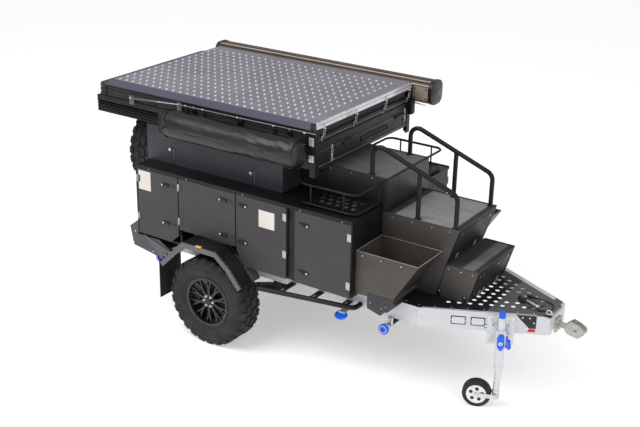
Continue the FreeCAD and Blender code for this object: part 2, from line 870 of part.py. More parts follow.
def door_outlines():
    """Outline of each door and the end that its hinge is on, from the rear door forward."""
    cx, cz = door_one_chamfer_x, door_one_chamfer_z
    one = [(door_one_rear_x, door_one_bottom_z), (door_one_front_x - cx, door_one_bottom_z),
           (door_one_front_x, door_one_bottom_z + cz), (door_one_front_x, door_top_z),
           (door_one_rear_x, door_top_z)]
    two = [(door_two_rear_x, door_two_bottom_z), (door_two_front_x, door_two_bottom_z),
           (door_two_front_x, door_top_z), (door_two_rear_x, door_top_z)]
    cx, cz = door_three_chamfer_x, door_three_chamfer_z
    three = [(door_three_rear_x + cx, door_bottom_z), (door_three_front_x, door_bottom_z),
             (door_three_front_x, door_top_z), (door_three_rear_x, door_top_z),
             (door_three_rear_x, door_bottom_z + cz)]
    four = [(door_four_rear_x, door_bottom_z), (door_four_front_x, door_bottom_z),
            (door_four_front_x, door_top_z), (door_four_rear_x, door_top_z)]
    return [(one, "rear"), (two, "rear"), (three, "front"), (four, "front")]


def door(outline, hinge_end):
    """One side door on the left, with hinge knuckles at one end and latch plates at the other."""
    slab = prism(outline, "y", door_face_y, body_half_width)
    xs = [x for x, z in outline]
    low = max(z for x, z in outline if z < (door_top_z + body_bottom_z) / 2)
    hinge_x = min(xs) if hinge_end == "rear" else max(xs)
    inward = 1 if hinge_end == "rear" else -1
    latch_x = max(xs) if hinge_end == "rear" else min(xs)
    pieces = [slab]
    drop = (door_top_z - low) * knuckle_drop_share
    for z in (low + drop, door_top_z - drop):
        pin_y = body_half_width + knuckle_radius
        pieces.append(cylinder((hinge_x, pin_y, z - knuckle_length / 2), (0, 0, 1),
                               knuckle_radius, knuckle_length))
        ends = sorted((hinge_x, hinge_x + inward * hinge_leaf_width))
        pieces.append(box(ends[0], ends[1], body_half_width, body_half_width + hinge_leaf,
                          z - knuckle_length / 2, z + knuckle_length / 2))
        middle = latch_x - inward * latch_inset
        reach = (latch_length - latch_width) / 2
        plate = [box(middle - reach, middle + reach, body_half_width,
                     body_half_width + latch_height, z - latch_width / 2, z + latch_width / 2)]
        for x in (middle - reach, middle + reach):
            plate.append(cylinder((x, body_half_width, z), (0, 1, 0), latch_width / 2,
                                  latch_height))
        plate.append(cylinder((middle + inward * reach / 2, body_half_width, z), (0, 1, 0),
                              latch_button_radius, latch_height + latch_button_height))
        pieces.extend(plate)
    return fuse(pieces)


# Pod and tent

def upper_pod():
    return box(pod_rear_x, pod_front_x, -pod_half_width, pod_half_width, ledge_top_z, pod_top_z)


def tent_base():
    side = [(tent_rear_x, tent_rear_bottom_z), (tent_step_x, tent_rear_bottom_z),
            (tent_step_x, pod_top_z), (tent_front_x, pod_top_z),
            (tent_front_x, tent_base_top_z), (tent_rear_x, tent_base_top_z)]
    whole = prism(side, "y", -tent_half_width, tent_half_width)
    well = box(tent_rear_x + tent_wall, tent_front_x - tent_wall,
               -tent_half_width + tent_wall, tent_half_width - tent_wall,
               tent_rear_bottom_z + tent_floor, tent_base_top_z + overrun)
    grooves = []
    pitch = (rib_top_z - tent_rear_bottom_z) / groove_count
    for i in range(groove_count):
        z = tent_rear_bottom_z + (i + 1 / 2) * pitch
        grooves.append(box(tent_rear_x - overrun, rib_front_x, tent_half_width - groove_depth,
                           tent_half_width + overrun, z - groove_height / 2,
                           z + groove_height / 2))
    cuts = [well] + grooves + [mirrored(g) for g in grooves]
    axis_x = lid_axis()[0]
    arm = box(axis_x - lid_hinge_radius, axis_x + lid_hinge_radius, tent_half_width - tent_wall,
              tent_half_width - moving_gap, tent_base_top_z - tent_wall, lid_bottom_z - side_gap)
    post = box(tent_front_x - corner_post_side, tent_front_x + corner_post_proud,
               tent_half_width - corner_post_side, tent_half_width + corner_post_proud,
               corner_post_low_z, lid_bottom_z - side_gap)
    post = post.cut(box(tent_front_x - corner_post_side - overrun, tent_front_x - corner_post_sheet,
                        tent_half_width - corner_post_side - overrun,
                        tent_half_width - corner_post_sheet, corner_post_low_z - overrun,
                        lid_bottom_z))
    front = tent_front_x + front_bar_proud
    bar_end, edge = front_bar_middle_y + front_bar_half, front_bar_proud
    bar_start = front_bar_middle_y - front_bar_half
    bar_top_z = front_bar_low_z + front_bar_height
    rail = box(tent_front_x, front, bar_start, bar_end, front_bar_low_z, bar_top_z)
    rail = rail.cut(box(tent_front_x, front, bar_start + edge, bar_end - edge,
                        front_bar_low_z + edge, bar_top_z - edge))
    flange = box(tent_front_x - tent_wall, front, -tent_half_width, tent_half_width,
                 tent_base_top_z - front_bar_proud, tent_base_top_z)
    hooks = []
    for y in front_hook_places_y:
        hooks.append(box(tent_front_x, tent_front_x + front_hook_depth, y - front_hook_width / 2,
                         y + front_hook_width / 2, front_hook_z, front_hook_z + tent_wall))
    body = whole.cut(Part.makeCompound(cuts))
    return fuse([body, arm, mirrored(arm), post, mirrored(post), rail, flange] + hooks)


def lid_axis():
    """Middle of the hinge barrel along the rear edge of the lid."""
    return lid_rear_x - lid_hinge_radius, lid_bottom_z + lid_hinge_radius


def tent_canvas():
    """The folded tent and mattress between the base and the lid, as one soft block."""
    inside = tent_wall + moving_gap
    return box(tent_rear_x + inside, tent_front_x - inside, -tent_half_width + inside,
               tent_half_width - inside, tent_rear_bottom_z + tent_floor + side_gap,
               lid_bottom_z - side_gap)


def tent_lid():
    half = tent_half_width - moving_gap
    side = [(lid_rear_x, lid_bottom_z), (tent_front_x, lid_bottom_z), (tent_front_x, lid_top_z),
            (lid_rear_x + lid_rear_slope, lid_top_z)]
    whole = prism(side, "y", -half - lid_slope, half + lid_slope)
    for sign in (1, -1):
        edge = [(sign * (half + lid_slope), lid_bottom_z), (sign * half, lid_top_z),
                (sign * (half + overrun), lid_top_z)]
        whole = whole.cut(prism(edge, "x", lid_rear_x - overrun, tent_front_x + overrun))
    under = box(lid_rear_x + lid_rear_slope, tent_front_x - tent_wall, -half + tent_wall,
                half - tent_wall, lid_bottom_z - overrun, lid_top_z - lid_sheet)
    whole = whole.cut(under)
    axis_x, axis_z = lid_axis()
    hinge = cylinder((axis_x, -half, axis_z), (0, 1, 0), lid_hinge_radius, 2 * half)
    leaf = box(axis_x, lid_rear_x + lid_leaf_width, -half, half, lid_bottom_z,
               lid_bottom_z + lid_leaf)
    return fuse([whole, hinge, leaf])


def lid_rail():
    """Bright extrusion along the front edge of the lid."""
    half = tent_half_width - moving_gap
    return box(tent_front_x + side_gap, tent_front_x + side_gap + lid_rail_width / 2, -half, half,
               lid_top_z - lid_rail_drop, lid_top_z)


def side_bag():
    middle = FreeCAD.Vector(bag_rear_x, -tent_half_width - side_gap - bag_width / 2, bag_middle_z)
    oval = Part.Ellipse(middle + FreeCAD.Vector(0, 0, bag_height / 2),
                        middle + FreeCAD.Vector(0, bag_width / 2, 0), middle).toShape()
    return Part.Face(Part.Wire(oval)).extrude(FreeCAD.Vector(bag_front_x - bag_rear_x, 0, 0))


awning_outer_y = guard_outer_y - awning_cap_proud
awning_inner_y = awning_outer_y - awning_width


def rounded_bar(x0, x1, y0, y1, z0, z1, round_radius):
    bar = box(x0, x1, y0, y1, z0, z1)
    long_edges = [e for e in bar.Edges if abs(e.BoundBox.XLength - (x1 - x0)) < side_gap]
    return bar.makeFillet(round_radius, long_edges)


def awning_case():
    low = awning_top_z - awning_height
    case = rounded_bar(awning_rear_x, awning_front_x, awning_inner_y, awning_outer_y,
                       low, awning_top_z, awning_round)
    caps = []
    for x in (awning_rear_x, awning_front_x - awning_cap):
        caps.append(rounded_bar(x, x + awning_cap, awning_inner_y, guard_outer_y,
                                low - awning_cap_proud, awning_top_z + awning_cap_proud,
                                awning_round))
    return fuse([case] + caps)


def awning_brackets():
    plates = []
    span = tent_front_x - tent_rear_x
    low = awning_top_z - awning_height
    for share in bracket_shares:
        x = tent_rear_x + share * span
        plate = box(x, x + bracket_length, tent_half_width, awning_outer_y - awning_width / 2,
                    low - carrier_sheet, low)
        upright = box(x, x + bracket_length, tent_half_width, tent_half_width + carrier_sheet,
                      low - bracket_height, low)
        plates.append(fuse([plate, upright]))
    return Part.makeCompound(plates)


# Steps

def hollow_step(outline, cavity):
    """A step box with the cavity cut between its two side walls."""
    whole = prism(outline, "y", -step_half_width, step_half_width)
    inner = step_half_width - step_sheet
    return whole.cut(prism(cavity, "y", -inner, inner))


def tread_lips(rear_x, front_x, top_z):
    lip = box(rear_x, front_x, step_half_width - tread_lip_width, step_half_width,
              top_z, top_z + tread_lip_height)
    return [lip, mirrored(lip)]


def upper_step():
    block = box(upper_step_rear_x, upper_step_front_x, -step_half_width, step_half_width,
                ledge_top_z, upper_step_top_z)
    lips = tread_lips(upper_step_rear_x, upper_step_front_x, upper_step_top_z)
    overhang = box(body_front_x + side_gap, upper_step_front_x, -step_half_width,
                   step_half_width, middle_step_top_z + tread_lip_height + side_gap, ledge_top_z)
    return fuse([block, overhang] + lips)


def middle_step():
    rear = body_front_x + side_gap
    floor_z = body_bottom_z + deck_sheet + side_gap
    run = (middle_step_front_x - middle_step_foot_x) / (middle_step_top_z - lower_step_top_z)
    low_front_x = lower_step_rear_foot_x - step_sheet
    outline = [(rear, floor_z), (low_front_x, floor_z), (middle_step_foot_x, lower_step_top_z),
               (middle_step_front_x, middle_step_top_z), (rear, middle_step_top_z)]
    top = middle_step_top_z - step_sheet
    low = lower_step_top_z + 2 * flap_pin_radius
    low_x = middle_step_foot_x + (low - lower_step_top_z) * run
    cavity = [(rear + step_sheet, low), (low_x + overrun, low), (middle_step_front_x + overrun, top),
              (rear + step_sheet, top)]
    shell = hollow_step(outline, cavity)
    under = lower_step_top_z - step_sheet
    pedestal = [(rear + step_sheet, floor_z - overrun), (low_front_x - step_sheet,
                                                         floor_z - overrun),
                (low_front_x - step_sheet, floor_z), (middle_step_foot_x - 2 * step_sheet, under),
                (rear + step_sheet, under)]
    shell = hollow_step(outline, pedestal).common(shell)
    seat = riser_seat(middle_step_foot_x, lower_step_top_z, middle_step_front_x,
                      middle_step_top_z)
    return fuse([shell.cut(seat)] + tread_lips(rear, middle_step_front_x, middle_step_top_z))


def lower_step():
    low = body_bottom_z + deck_sheet
    outline = [(lower_step_rear_foot_x, low), (lower_step_foot_x, low),
               (lower_step_front_x, lower_step_top_z), (lower_step_rear_top_x, lower_step_top_z)]
    run = (lower_step_front_x - lower_step_foot_x) / (lower_step_top_z - low)
    rear_run = (lower_step_rear_top_x - lower_step_rear_foot_x) / (lower_step_top_z - low)
    floor_z = low + 2 * flap_pin_radius
    top = lower_step_top_z - step_sheet
    cavity = [(lower_step_rear_foot_x + step_sheet + (floor_z - low) * rear_run, floor_z),
              (lower_step_foot_x + (floor_z - low) * run + overrun, floor_z),
              (lower_step_front_x + overrun, top),
              (lower_step_rear_top_x + step_sheet, top)]
    shell = hollow_step(outline, cavity)
    seat = riser_seat(lower_step_foot_x, low, lower_step_front_x, lower_step_top_z)
    return fuse([shell.cut(seat)]
                + tread_lips(lower_step_rear_top_x + step_sheet, lower_step_front_x,
                             lower_step_top_z))


def riser_frame(foot_x, foot_z, head_x, head_z):
    """Unit vector up the riser and the unit vector out of it."""
    length = math.hypot(head_x - foot_x, head_z - foot_z)
    up = ((head_x - foot_x) / length, (head_z - foot_z) / length)
    out = (up[1], -up[0])
    return length, up, out


def riser_slab(foot, length, up, out, start, inset, depth, half):
    def place(along, proud):
        return (foot[0] + up[0] * along + out[0] * proud, foot[1] + up[1] * along + out[1] * proud)
    corners = [place(start, -depth), place(length - inset, -depth), place(length - inset, overrun),
               place(start, overrun)]
    return prism(corners, "y", -half, half)


def riser_seat(foot_x, foot_z, head_x, head_z):
    """Room for the flap and its hinge pin between the side walls of the step."""
    length, up, out = riser_frame(foot_x, foot_z, head_x, head_z)
    half = step_half_width - flap_side_gap + moving_gap
    return riser_slab((foot_x, foot_z), length, up, out, 0, step_sheet,
                      flap_sheet + flap_pin_radius + side_gap, half)


def riser_flap(foot_x, foot_z, head_x, head_z):
    length, up, out = riser_frame(foot_x, foot_z, head_x, head_z)
    half = step_half_width - flap_side_gap
    pin = flap_pin_radius
    reach = half + moving_gap - side_gap

    def place(along, proud):
        return (foot_x + up[0] * along + out[0] * proud, foot_z + up[1] * along + out[1] * proud)
    top = length - step_sheet - moving_gap
    slab = prism([place(2 * pin, -flap_sheet), place(top, -flap_sheet), place(top, 0),
                  place(2 * pin, 0)], "y", -half, half)
    centre = place(2 * pin, -flap_sheet / 2)
    barrel = cylinder((centre[0], -reach, centre[1]), (0, 1, 0), pin, 2 * reach)
    return fuse([slab, barrel])


def flap_axis(foot_x, foot_z, head_x, head_z):
    length, up, out = riser_frame(foot_x, foot_z, head_x, head_z)
    along, proud = 2 * flap_pin_radius, -flap_sheet / 2
    return foot_x + up[0] * along + out[0] * proud, foot_z + up[1] * along + out[1] * proud


# Rails, baskets and bins

def handrails():
    slope = (handrail_high_z - handrail_low_z) / (handrail_front_x - handrail_rear_x)
    y = handrail_y
    hoop = bent_tube([(handrail_rear_x, y, upper_step_top_z), (handrail_rear_x, y, handrail_high_z),
                      (handrail_front_x, y, handrail_low_z),
                      (handrail_front_x, y, middle_step_top_z)],
                     rail_tube_radius, [rail_bend_radius, rail_bend_radius])
    mid_top = handrail_high_z - slope * (handrail_mid_x - handrail_rear_x)
    post = cylinder((handrail_mid_x, y, middle_step_top_z), (0, 0, 1), rail_tube_radius,
                    mid_top - middle_step_top_z)
    return both_sides(fuse([hoop, post]))


def ledge_baskets():
    r = basket_tube_radius
    near, far = basket_inner_y + r, basket_outer_y
    loops = []
    for z in (basket_low_z, basket_top_z):
        loops.append(bent_tube([(basket_rear_x, near, z), (basket_rear_x, far, z),
                                (basket_front_x, far, z), (basket_front_x, near, z)], r,
                               [basket_corner_radius, basket_corner_radius]))
    posts = []
    for share in basket_post_shares:
        x = basket_rear_x + share * (basket_front_x - basket_rear_x)
        posts.append(cylinder((x, far, basket_low_z), (0, 0, 1), basket_post_radius,
                              basket_top_z - basket_low_z))
    for x in (basket_rear_x, basket_front_x):
        posts.append(cylinder((x, near + r, ledge_top_z), (0, 0, 1), basket_post_radius,
                              basket_top_z - ledge_top_z))
    inset = r / 2
    low = basket_low_z - basket_floor_sheet / 2
    floor = box(basket_rear_x + inset, basket_front_x - inset, near, far - inset, low,
                low + basket_floor_sheet)
    floor = floor.makeChamfer(basket_corner_radius / 2,
                              [e for e in floor.Edges
                               if abs(e.BoundBox.ZLength - basket_floor_sheet) < side_gap
                               and e.BoundBox.YMax > (near + far) / 2])
    holes = []
    pitch = basket_hole_pitch
    middle_x, middle_y = (basket_rear_x + basket_front_x) / 2, (near + far) / 2
    for i in range(-basket_hole_reach[0], basket_hole_reach[0] + 1):
        for j in range(-basket_hole_reach[1], basket_hole_reach[1] + 1):
            x = middle_x + (i + (j % 2) / 2) * pitch
            if abs(x - middle_x) < (basket_front_x - basket_rear_x) / 2 - basket_corner_radius:
                holes.append(cylinder((x, middle_y + j * pitch, low - overrun), (0, 0, 1),
                                      basket_hole_radius, 2 * overrun))
    return both_sides(fuse(loops + posts + [floor.cut(holes)]))


def can_bins():
    rear = body_front_x + side_gap
    outline = [(rear, bin_bottom_z), (bin_foot_x, bin_bottom_z), (bin_foot_x, bin_low_z),
               (bin_front_x, bin_top_z), (rear, bin_top_z)]
    whole = prism(outline, "y", bin_inner_y, bin_outer_y)
    s = bin_sheet
    slope = (bin_front_x - bin_foot_x) / (bin_top_z - bin_low_z)
    hollow = [(rear + s, bin_bottom_z + s), (bin_foot_x - s, bin_bottom_z + s),
              (bin_foot_x - s, bin_low_z), (bin_front_x - s, bin_top_z),
              (bin_front_x - s + overrun * slope, bin_top_z + overrun),
              (rear + s, bin_top_z + overrun)]
    tub = whole.cut(prism(hollow, "y", bin_inner_y + s, bin_outer_y - s))
    skirt = prism([(skirt_rear_x, skirt_bottom_z), (skirt_front_x - (bin_bottom_z - skirt_bottom_z),
                                                    skirt_bottom_z),
                   (skirt_front_x, bin_bottom_z), (skirt_rear_x, bin_bottom_z)],
                  "y", rail_outer_y + side_gap, bin_outer_y)
    return both_sides(fuse([tub, skirt]))


# Side and rear fittings

def mudguards():
    sheet = prism(band(guard_line, guard_sheet), "y", body_half_width + side_gap, guard_outer_y)
    lip = prism(band(guard_line, guard_lip_depth), "y", guard_outer_y - guard_lip_width,
                guard_outer_y)
    inner = []
    for start, end in ((guard_line[0], (arch_rear_x, body_bottom_z)),
                       ((arch_front_x, body_bottom_z), guard_line[-1])):
        inner.append(prism(band([start, end], guard_sheet), "y", flap_inner_y,
                           body_half_width + side_gap))
    return both_sides(fuse([sheet, lip] + inner))


def mudflaps():
    front = guard_rear_x - side_gap
    flap = box(front - flap_rubber, front, flap_inner_y, guard_outer_y, flap_low_z,
               guard_rear_z + flap_head)
    return both_sides(flap)


def side_markers():
    x = (guard_crown_rear_x + guard_crown_front_x) / 2
    marker = box(x - marker_length / 2, x + marker_length / 2, guard_outer_y - marker_width,
                 guard_outer_y, guard_top_z, guard_top_z + marker_height)
    return both_sides(marker)


def side_sliders():
    def along(share):
        return (slider_front_x + share * (slider_rear_x - slider_front_x),
                slider_front_y + share * (slider_rear_y - slider_front_y))
    tube = bent_tube([(slider_front_x, rail_outer_y + side_gap, slider_z),
                      (slider_front_x, slider_front_y, slider_z),
                      (slider_rear_x, slider_rear_y, slider_z),
                      (slider_tail_x, slider_tail_y, slider_z)],
                     slider_radius, [slider_radius * 2, slider_radius])
    straps = []
    for share in slider_strap_shares:
        x, y = along(share)
        straps.append(box(x - slider_strap_width / 2, x + slider_strap_width / 2,
                          rail_outer_y + side_gap, y, slider_z - slider_strap_sheet / 2,
                          slider_z + slider_strap_sheet / 2))
    return both_sides(fuse([tube] + straps))


def rear_bumper():
    outline = [(bumper_top_x, bumper_top_z), (bumper_rear_x, bumper_waist_z),
               (bumper_foot_x, bumper_foot_z), (bumper_low_x, bumper_low_z),
               (bumper_front_x, bumper_front_z)]
    plate = prism(outline, "y", body_half_width - bumper_plate, body_half_width)
    plate = plate.cut(box(body_rear_x - side_gap, -body_rear_x, 0, body_half_width + overrun,
                          body_bottom_z - side_gap, bumper_top_z + overrun))
    face = prism(band([(bumper_top_x, bumper_top_z), (bumper_rear_x, bumper_waist_z),
                       (bumper_foot_x, bumper_foot_z), (bumper_foot_x + bumper_return,
                                                        bumper_foot_z - bumper_return_fall)],
                      -bumper_face), "y", -body_half_width, body_half_width)
    stays = box(bumper_foot_x + bumper_return / 2, bumper_front_x - bumper_return,
                rail_outer_y + side_gap, body_half_width,
                body_bottom_z - cross_member_height, body_bottom_z - cross_member_height
                + bumper_plate)
    face = face.cut(box(body_rear_x - side_gap, -body_rear_x, -body_half_width,
                        body_half_width, body_bottom_z - side_gap, bumper_top_z + overrun))
    tab = box(shackle_x + shackle_tab_half / 2, bumper_foot_x + shackle_tab_half,
              shackle_y - shackle_tab / 2, shackle_y + shackle_tab / 2,
              shackle_z - shackle_tab_half, shackle_z + shackle_tab_half)
    hole = cylinder((shackle_x + shackle_tab_half, shackle_y - overrun, shackle_z), (0, 1, 0),
                    shackle_pin_radius + running_gap, 2 * overrun)
    tab = tab.cut(hole)
    gusset = prism([(gusset_top_x, gusset_top_z), (gusset_foot_x, gusset_foot_z),
                    (gusset_front_x, gusset_front_z)],
                   "y", body_half_width, body_half_width + gusset_sheet)
    return fuse([plate, mirrored(plate), face, stays, mirrored(stays), tab, mirrored(tab), gusset,
                 mirrored(gusset)])


def shackles():
    x = shackle_x + shackle_tab_half
    half = shackle_tab / 2 + running_gap + shackle_bow_tube
    reach = half + shackle_bow_tube
    pin = cylinder((x, shackle_y - reach, shackle_z), (0, 1, 0), shackle_pin_radius, 2 * reach)
    low = shackle_bow_radius
    bow = bent_tube([(x, shackle_y - half, shackle_z),
                     (x - low, shackle_y - half, shackle_z - low * 2),
                     (x - low, shackle_y + half, shackle_z - low * 2),
                     (x, shackle_y + half, shackle_z)],
                    shackle_bow_tube - running_gap,
                    [shackle_bow_tube, shackle_bow_tube])
    return both_sides(fuse([pin, bow]))


def tail_lamps():
    slope = (bumper_foot_x - bumper_rear_x) / (bumper_waist_z - bumper_foot_z)
    rear = bumper_rear_x + slope * (bumper_waist_z - lamp_z)
    tilt = -math.degrees(math.atan(slope))
    lamp = box(-lamp_depth, 0, lamp_y - lamp_length / 2, lamp_y + lamp_length / 2,
               -lamp_height / 2, lamp_height / 2)
    lamp.rotate(FreeCAD.Vector(0, 0, 0), FreeCAD.Vector(0, 1, 0), tilt)
    lamp.translate(FreeCAD.Vector(rear - side_gap, 0, lamp_z))
    return both_sides(lamp)


def stabiliser_legs():
    legs = []
    for x in (leg_front_x, leg_rear_x):
        tube = cylinder((x, leg_inner_y, leg_z), (0, 1, 0), leg_radius, leg_outer_y - leg_inner_y)
        bracket = box(x - leg_bracket_sheet / 2, x + leg_bracket_sheet / 2,
                      rail_outer_y - rail_wall_y, rail_outer_y, leg_z, rail_bottom_z)
        legs.append(fuse([tube, bracket]))
        legs.append(mirrored(legs[-1]))
    return Part.makeCompound(legs)


def stabiliser_feet():
    feet = []
    for x in (leg_front_x, leg_rear_x):
        plate = cylinder((x, leg_outer_y + side_gap, leg_z), (0, 1, 0), foot_radius, foot_height)
        hole = cylinder((x, leg_outer_y + foot_height / 2, leg_z), (0, 1, 0), foot_hole_radius,
                        foot_height)
        feet.append(plate.cut(hole))
        feet.append(mirrored(feet[-1]))
    return Part.makeCompound(feet)


def spare_carrier():
    hub_x = spare_hub_x + side_gap
    wall_x = body_rear_x - side_gap
    plate = box(hub_x, hub_x + carrier_sheet, spare_y - carrier_width / 2,
                spare_y + carrier_width / 2, spare_z - carrier_width / 2,
                spare_z + carrier_width / 2)
    stub = box(hub_x, wall_x, spare_y - carrier_stub / 2, spare_y + carrier_stub / 2,
               spare_z - carrier_stub / 2, spare_z + carrier_stub / 2)
    cross = box(wall_x - carrier_tube, wall_x, spare_y - carrier_width, spare_y + carrier_width,
                spare_z - carrier_tube, spare_z)
    bars = []
    for y in (spare_y - carrier_width, spare_y + carrier_width - carrier_tube):
        bars.append(box(wall_x - carrier_tube, wall_x, y, y + carrier_tube,
                        bumper_top_z + side_gap, spare_z))
    return fuse([plate, stub, cross] + bars)


# Jockey stand: made with the near rail along X, then turned and moved to its place

stem_y = -(drawbar_outer(jockey_x) + jockey_offset / math.cos(drawbar_turn))


def at_rail(shape):
    shape.rotate(FreeCAD.Vector(0, 0, 0), FreeCAD.Vector(0, 0, 1), math.degrees(drawbar_turn))
    shape.translate(FreeCAD.Vector(jockey_x, stem_y, 0))
    return shape


def jockey_clamp():
    plate = box(-clamp_half_length, clamp_half_length, jockey_offset - clamp_plate, jockey_offset,
                clamp_bottom_z, clamp_top_z)
    boss = cylinder((0, jockey_offset - 2 * clamp_plate, jockey_pivot_z), (0, 1, 0),
                    clamp_boss_radius, clamp_plate)
    return at_rail(fuse([plate, boss]))


def jockey_stem():
    back = jockey_offset - 2 * clamp_plate - running_gap
    disc = cylinder((0, back - swivel_plate, jockey_pivot_z), (0, 1, 0), swivel_plate_radius,
                    swivel_plate)
    sleeve = box(-sleeve_half, sleeve_half, -sleeve_half, back - swivel_plate,
                 jockey_pivot_z - sleeve_height / 2, jockey_pivot_z + sleeve_height / 2)
    outer = cylinder((0, 0, stem_low_z), (0, 0, 1), stem_radius, stem_top_z - stem_low_z)
    inner = cylinder((0, 0, inner_stem_low_z), (0, 0, 1), inner_stem_radius,
                     stem_low_z - inner_stem_low_z)
    return at_rail(fuse([disc, sleeve, outer, inner]))


def jockey_handles():
    knob = cylinder((0, 0, stem_top_z), (0, 0, 1), handle_radius, handle_height)
    arm = box(-handle_arm_width / 2, handle_arm_width / 2, -sleeve_half - handle_arm_sheet,
              -sleeve_half, jockey_pivot_z - handle_arm, jockey_pivot_z + handle_arm_width)
    lever = box(sleeve_half, sleeve_half + handle_arm_sheet, -latch_lever_width / 2,
                latch_lever_width / 2, jockey_pivot_z - latch_lever_length, jockey_pivot_z)
    return at_rail(Part.makeCompound([knob, arm, lever]))


def at_castor(shape):
    """Trail along +X turned to the castor's heading, under the stem."""
    shape.rotate(FreeCAD.Vector(0, 0, 0), FreeCAD.Vector(0, 0, 1), jockey_turn)
    shape.translate(FreeCAD.Vector(jockey_x, stem_y, 0))
    return shape


def jockey_fork():
    top = inner_stem_low_z - running_gap
    collar = cylinder((0, 0, top - fork_collar_height), (0, 0, 1), fork_collar_radius,
                      fork_collar_height)
    half = jockey_wheel_width / 2 + moving_gap
    z = jockey_wheel_radius
    bridge = box(-fork_sheet, fork_sheet, -half - fork_sheet, half + fork_sheet,
                 z - fork_height / 2, z + fork_height / 2)
    arms = []
    for y in (-half - fork_sheet, half):
        arms.append(box(0, jockey_trail + fork_height / 2, y, y + fork_sheet, z - fork_height / 2,
                        z + fork_height / 2))
    pin = cylinder((jockey_trail, -half - fork_sheet, z), (0, 1, 0), jockey_pin_radius,
                   2 * (half + fork_sheet))
    return at_castor(fuse([collar, bridge, pin] + arms))


def jockey_rim():
    half = jockey_wheel_width / 2
    ring = cylinder((jockey_trail, -half, jockey_wheel_radius), (0, 1, 0), jockey_rim_radius,
                    jockey_wheel_width)
    bore = cylinder((jockey_trail, -half - overrun, jockey_wheel_radius), (0, 1, 0),
                    jockey_pin_radius + running_gap, jockey_wheel_width + 2 * overrun)
    return at_castor(ring.cut(bore))


def jockey_tyre():
    half = jockey_wheel_width / 2
    outer = cylinder((jockey_trail, -half, jockey_wheel_radius), (0, 1, 0), jockey_wheel_radius,
                     jockey_wheel_width)
    rounded = outer.makeFillet(fork_sheet * 2, [e for e in outer.Edges if e.Closed])
    bore = cylinder((jockey_trail, -half - overrun, jockey_wheel_radius), (0, 1, 0),
                    jockey_rim_radius + side_gap, jockey_wheel_width + 2 * overrun)
    return at_castor(rounded.cut(bore))


# The lead leaves a gland on the deck, lies in an open loop over the nose and ends in its plug.
lead_points = [
    (2545.0, 62.0, 800.0), (2590.0, 62.0, 800.0), (2640.0, 72.0, 793.0), (2692.0, 72.0, 791.0),
    (2738.0, 46.0, 791.0), (2764.0, -2.0, 791.0), (2758.0, -56.0, 791.0), (2724.0, -98.0, 791.0),
    (2676.0, -114.0, 793.0), (2628.0, -102.0, 801.0), (2586.0, -78.0, 806.3),
    (2548.0, -56.0, 806.3),
]


def trailer_lead():
    return bent_tube(lead_points, lead_radius, cord_bends(lead_points))


def lead_gland():
    x, y, z = lead_points[0]
    low = body_bottom_z + deck_sheet
    block = box(x - gland_length, x, y - gland_radius, y + gland_radius, low, z + gland_radius)
    return block


def lead_plug():
    start = FreeCAD.Vector(*lead_points[-1])
    heading = (start - FreeCAD.Vector(*lead_points[-2])).normalize()
    body = Part.makeCylinder(plug_radius / 2, plug_length / 4, start, heading)
    rest = Part.makeCylinder(plug_radius, plug_length, start + heading * (plug_length / 4), heading)
    return fuse([body, rest])


def write(name, shape):
    shape.translate(FreeCAD.Vector(-middle_x, 0, 0))
    solids = shape.Solids
    assert solids and all(s.isValid() for s in solids), name
    whole = solids[0] if len(solids) == 1 else Part.makeCompound(solids)
    whole.exportStep("parts/" + name + ".step")
    print(name, len(solids), round(sum(s.Volume for s in solids) / 1e9, 5))


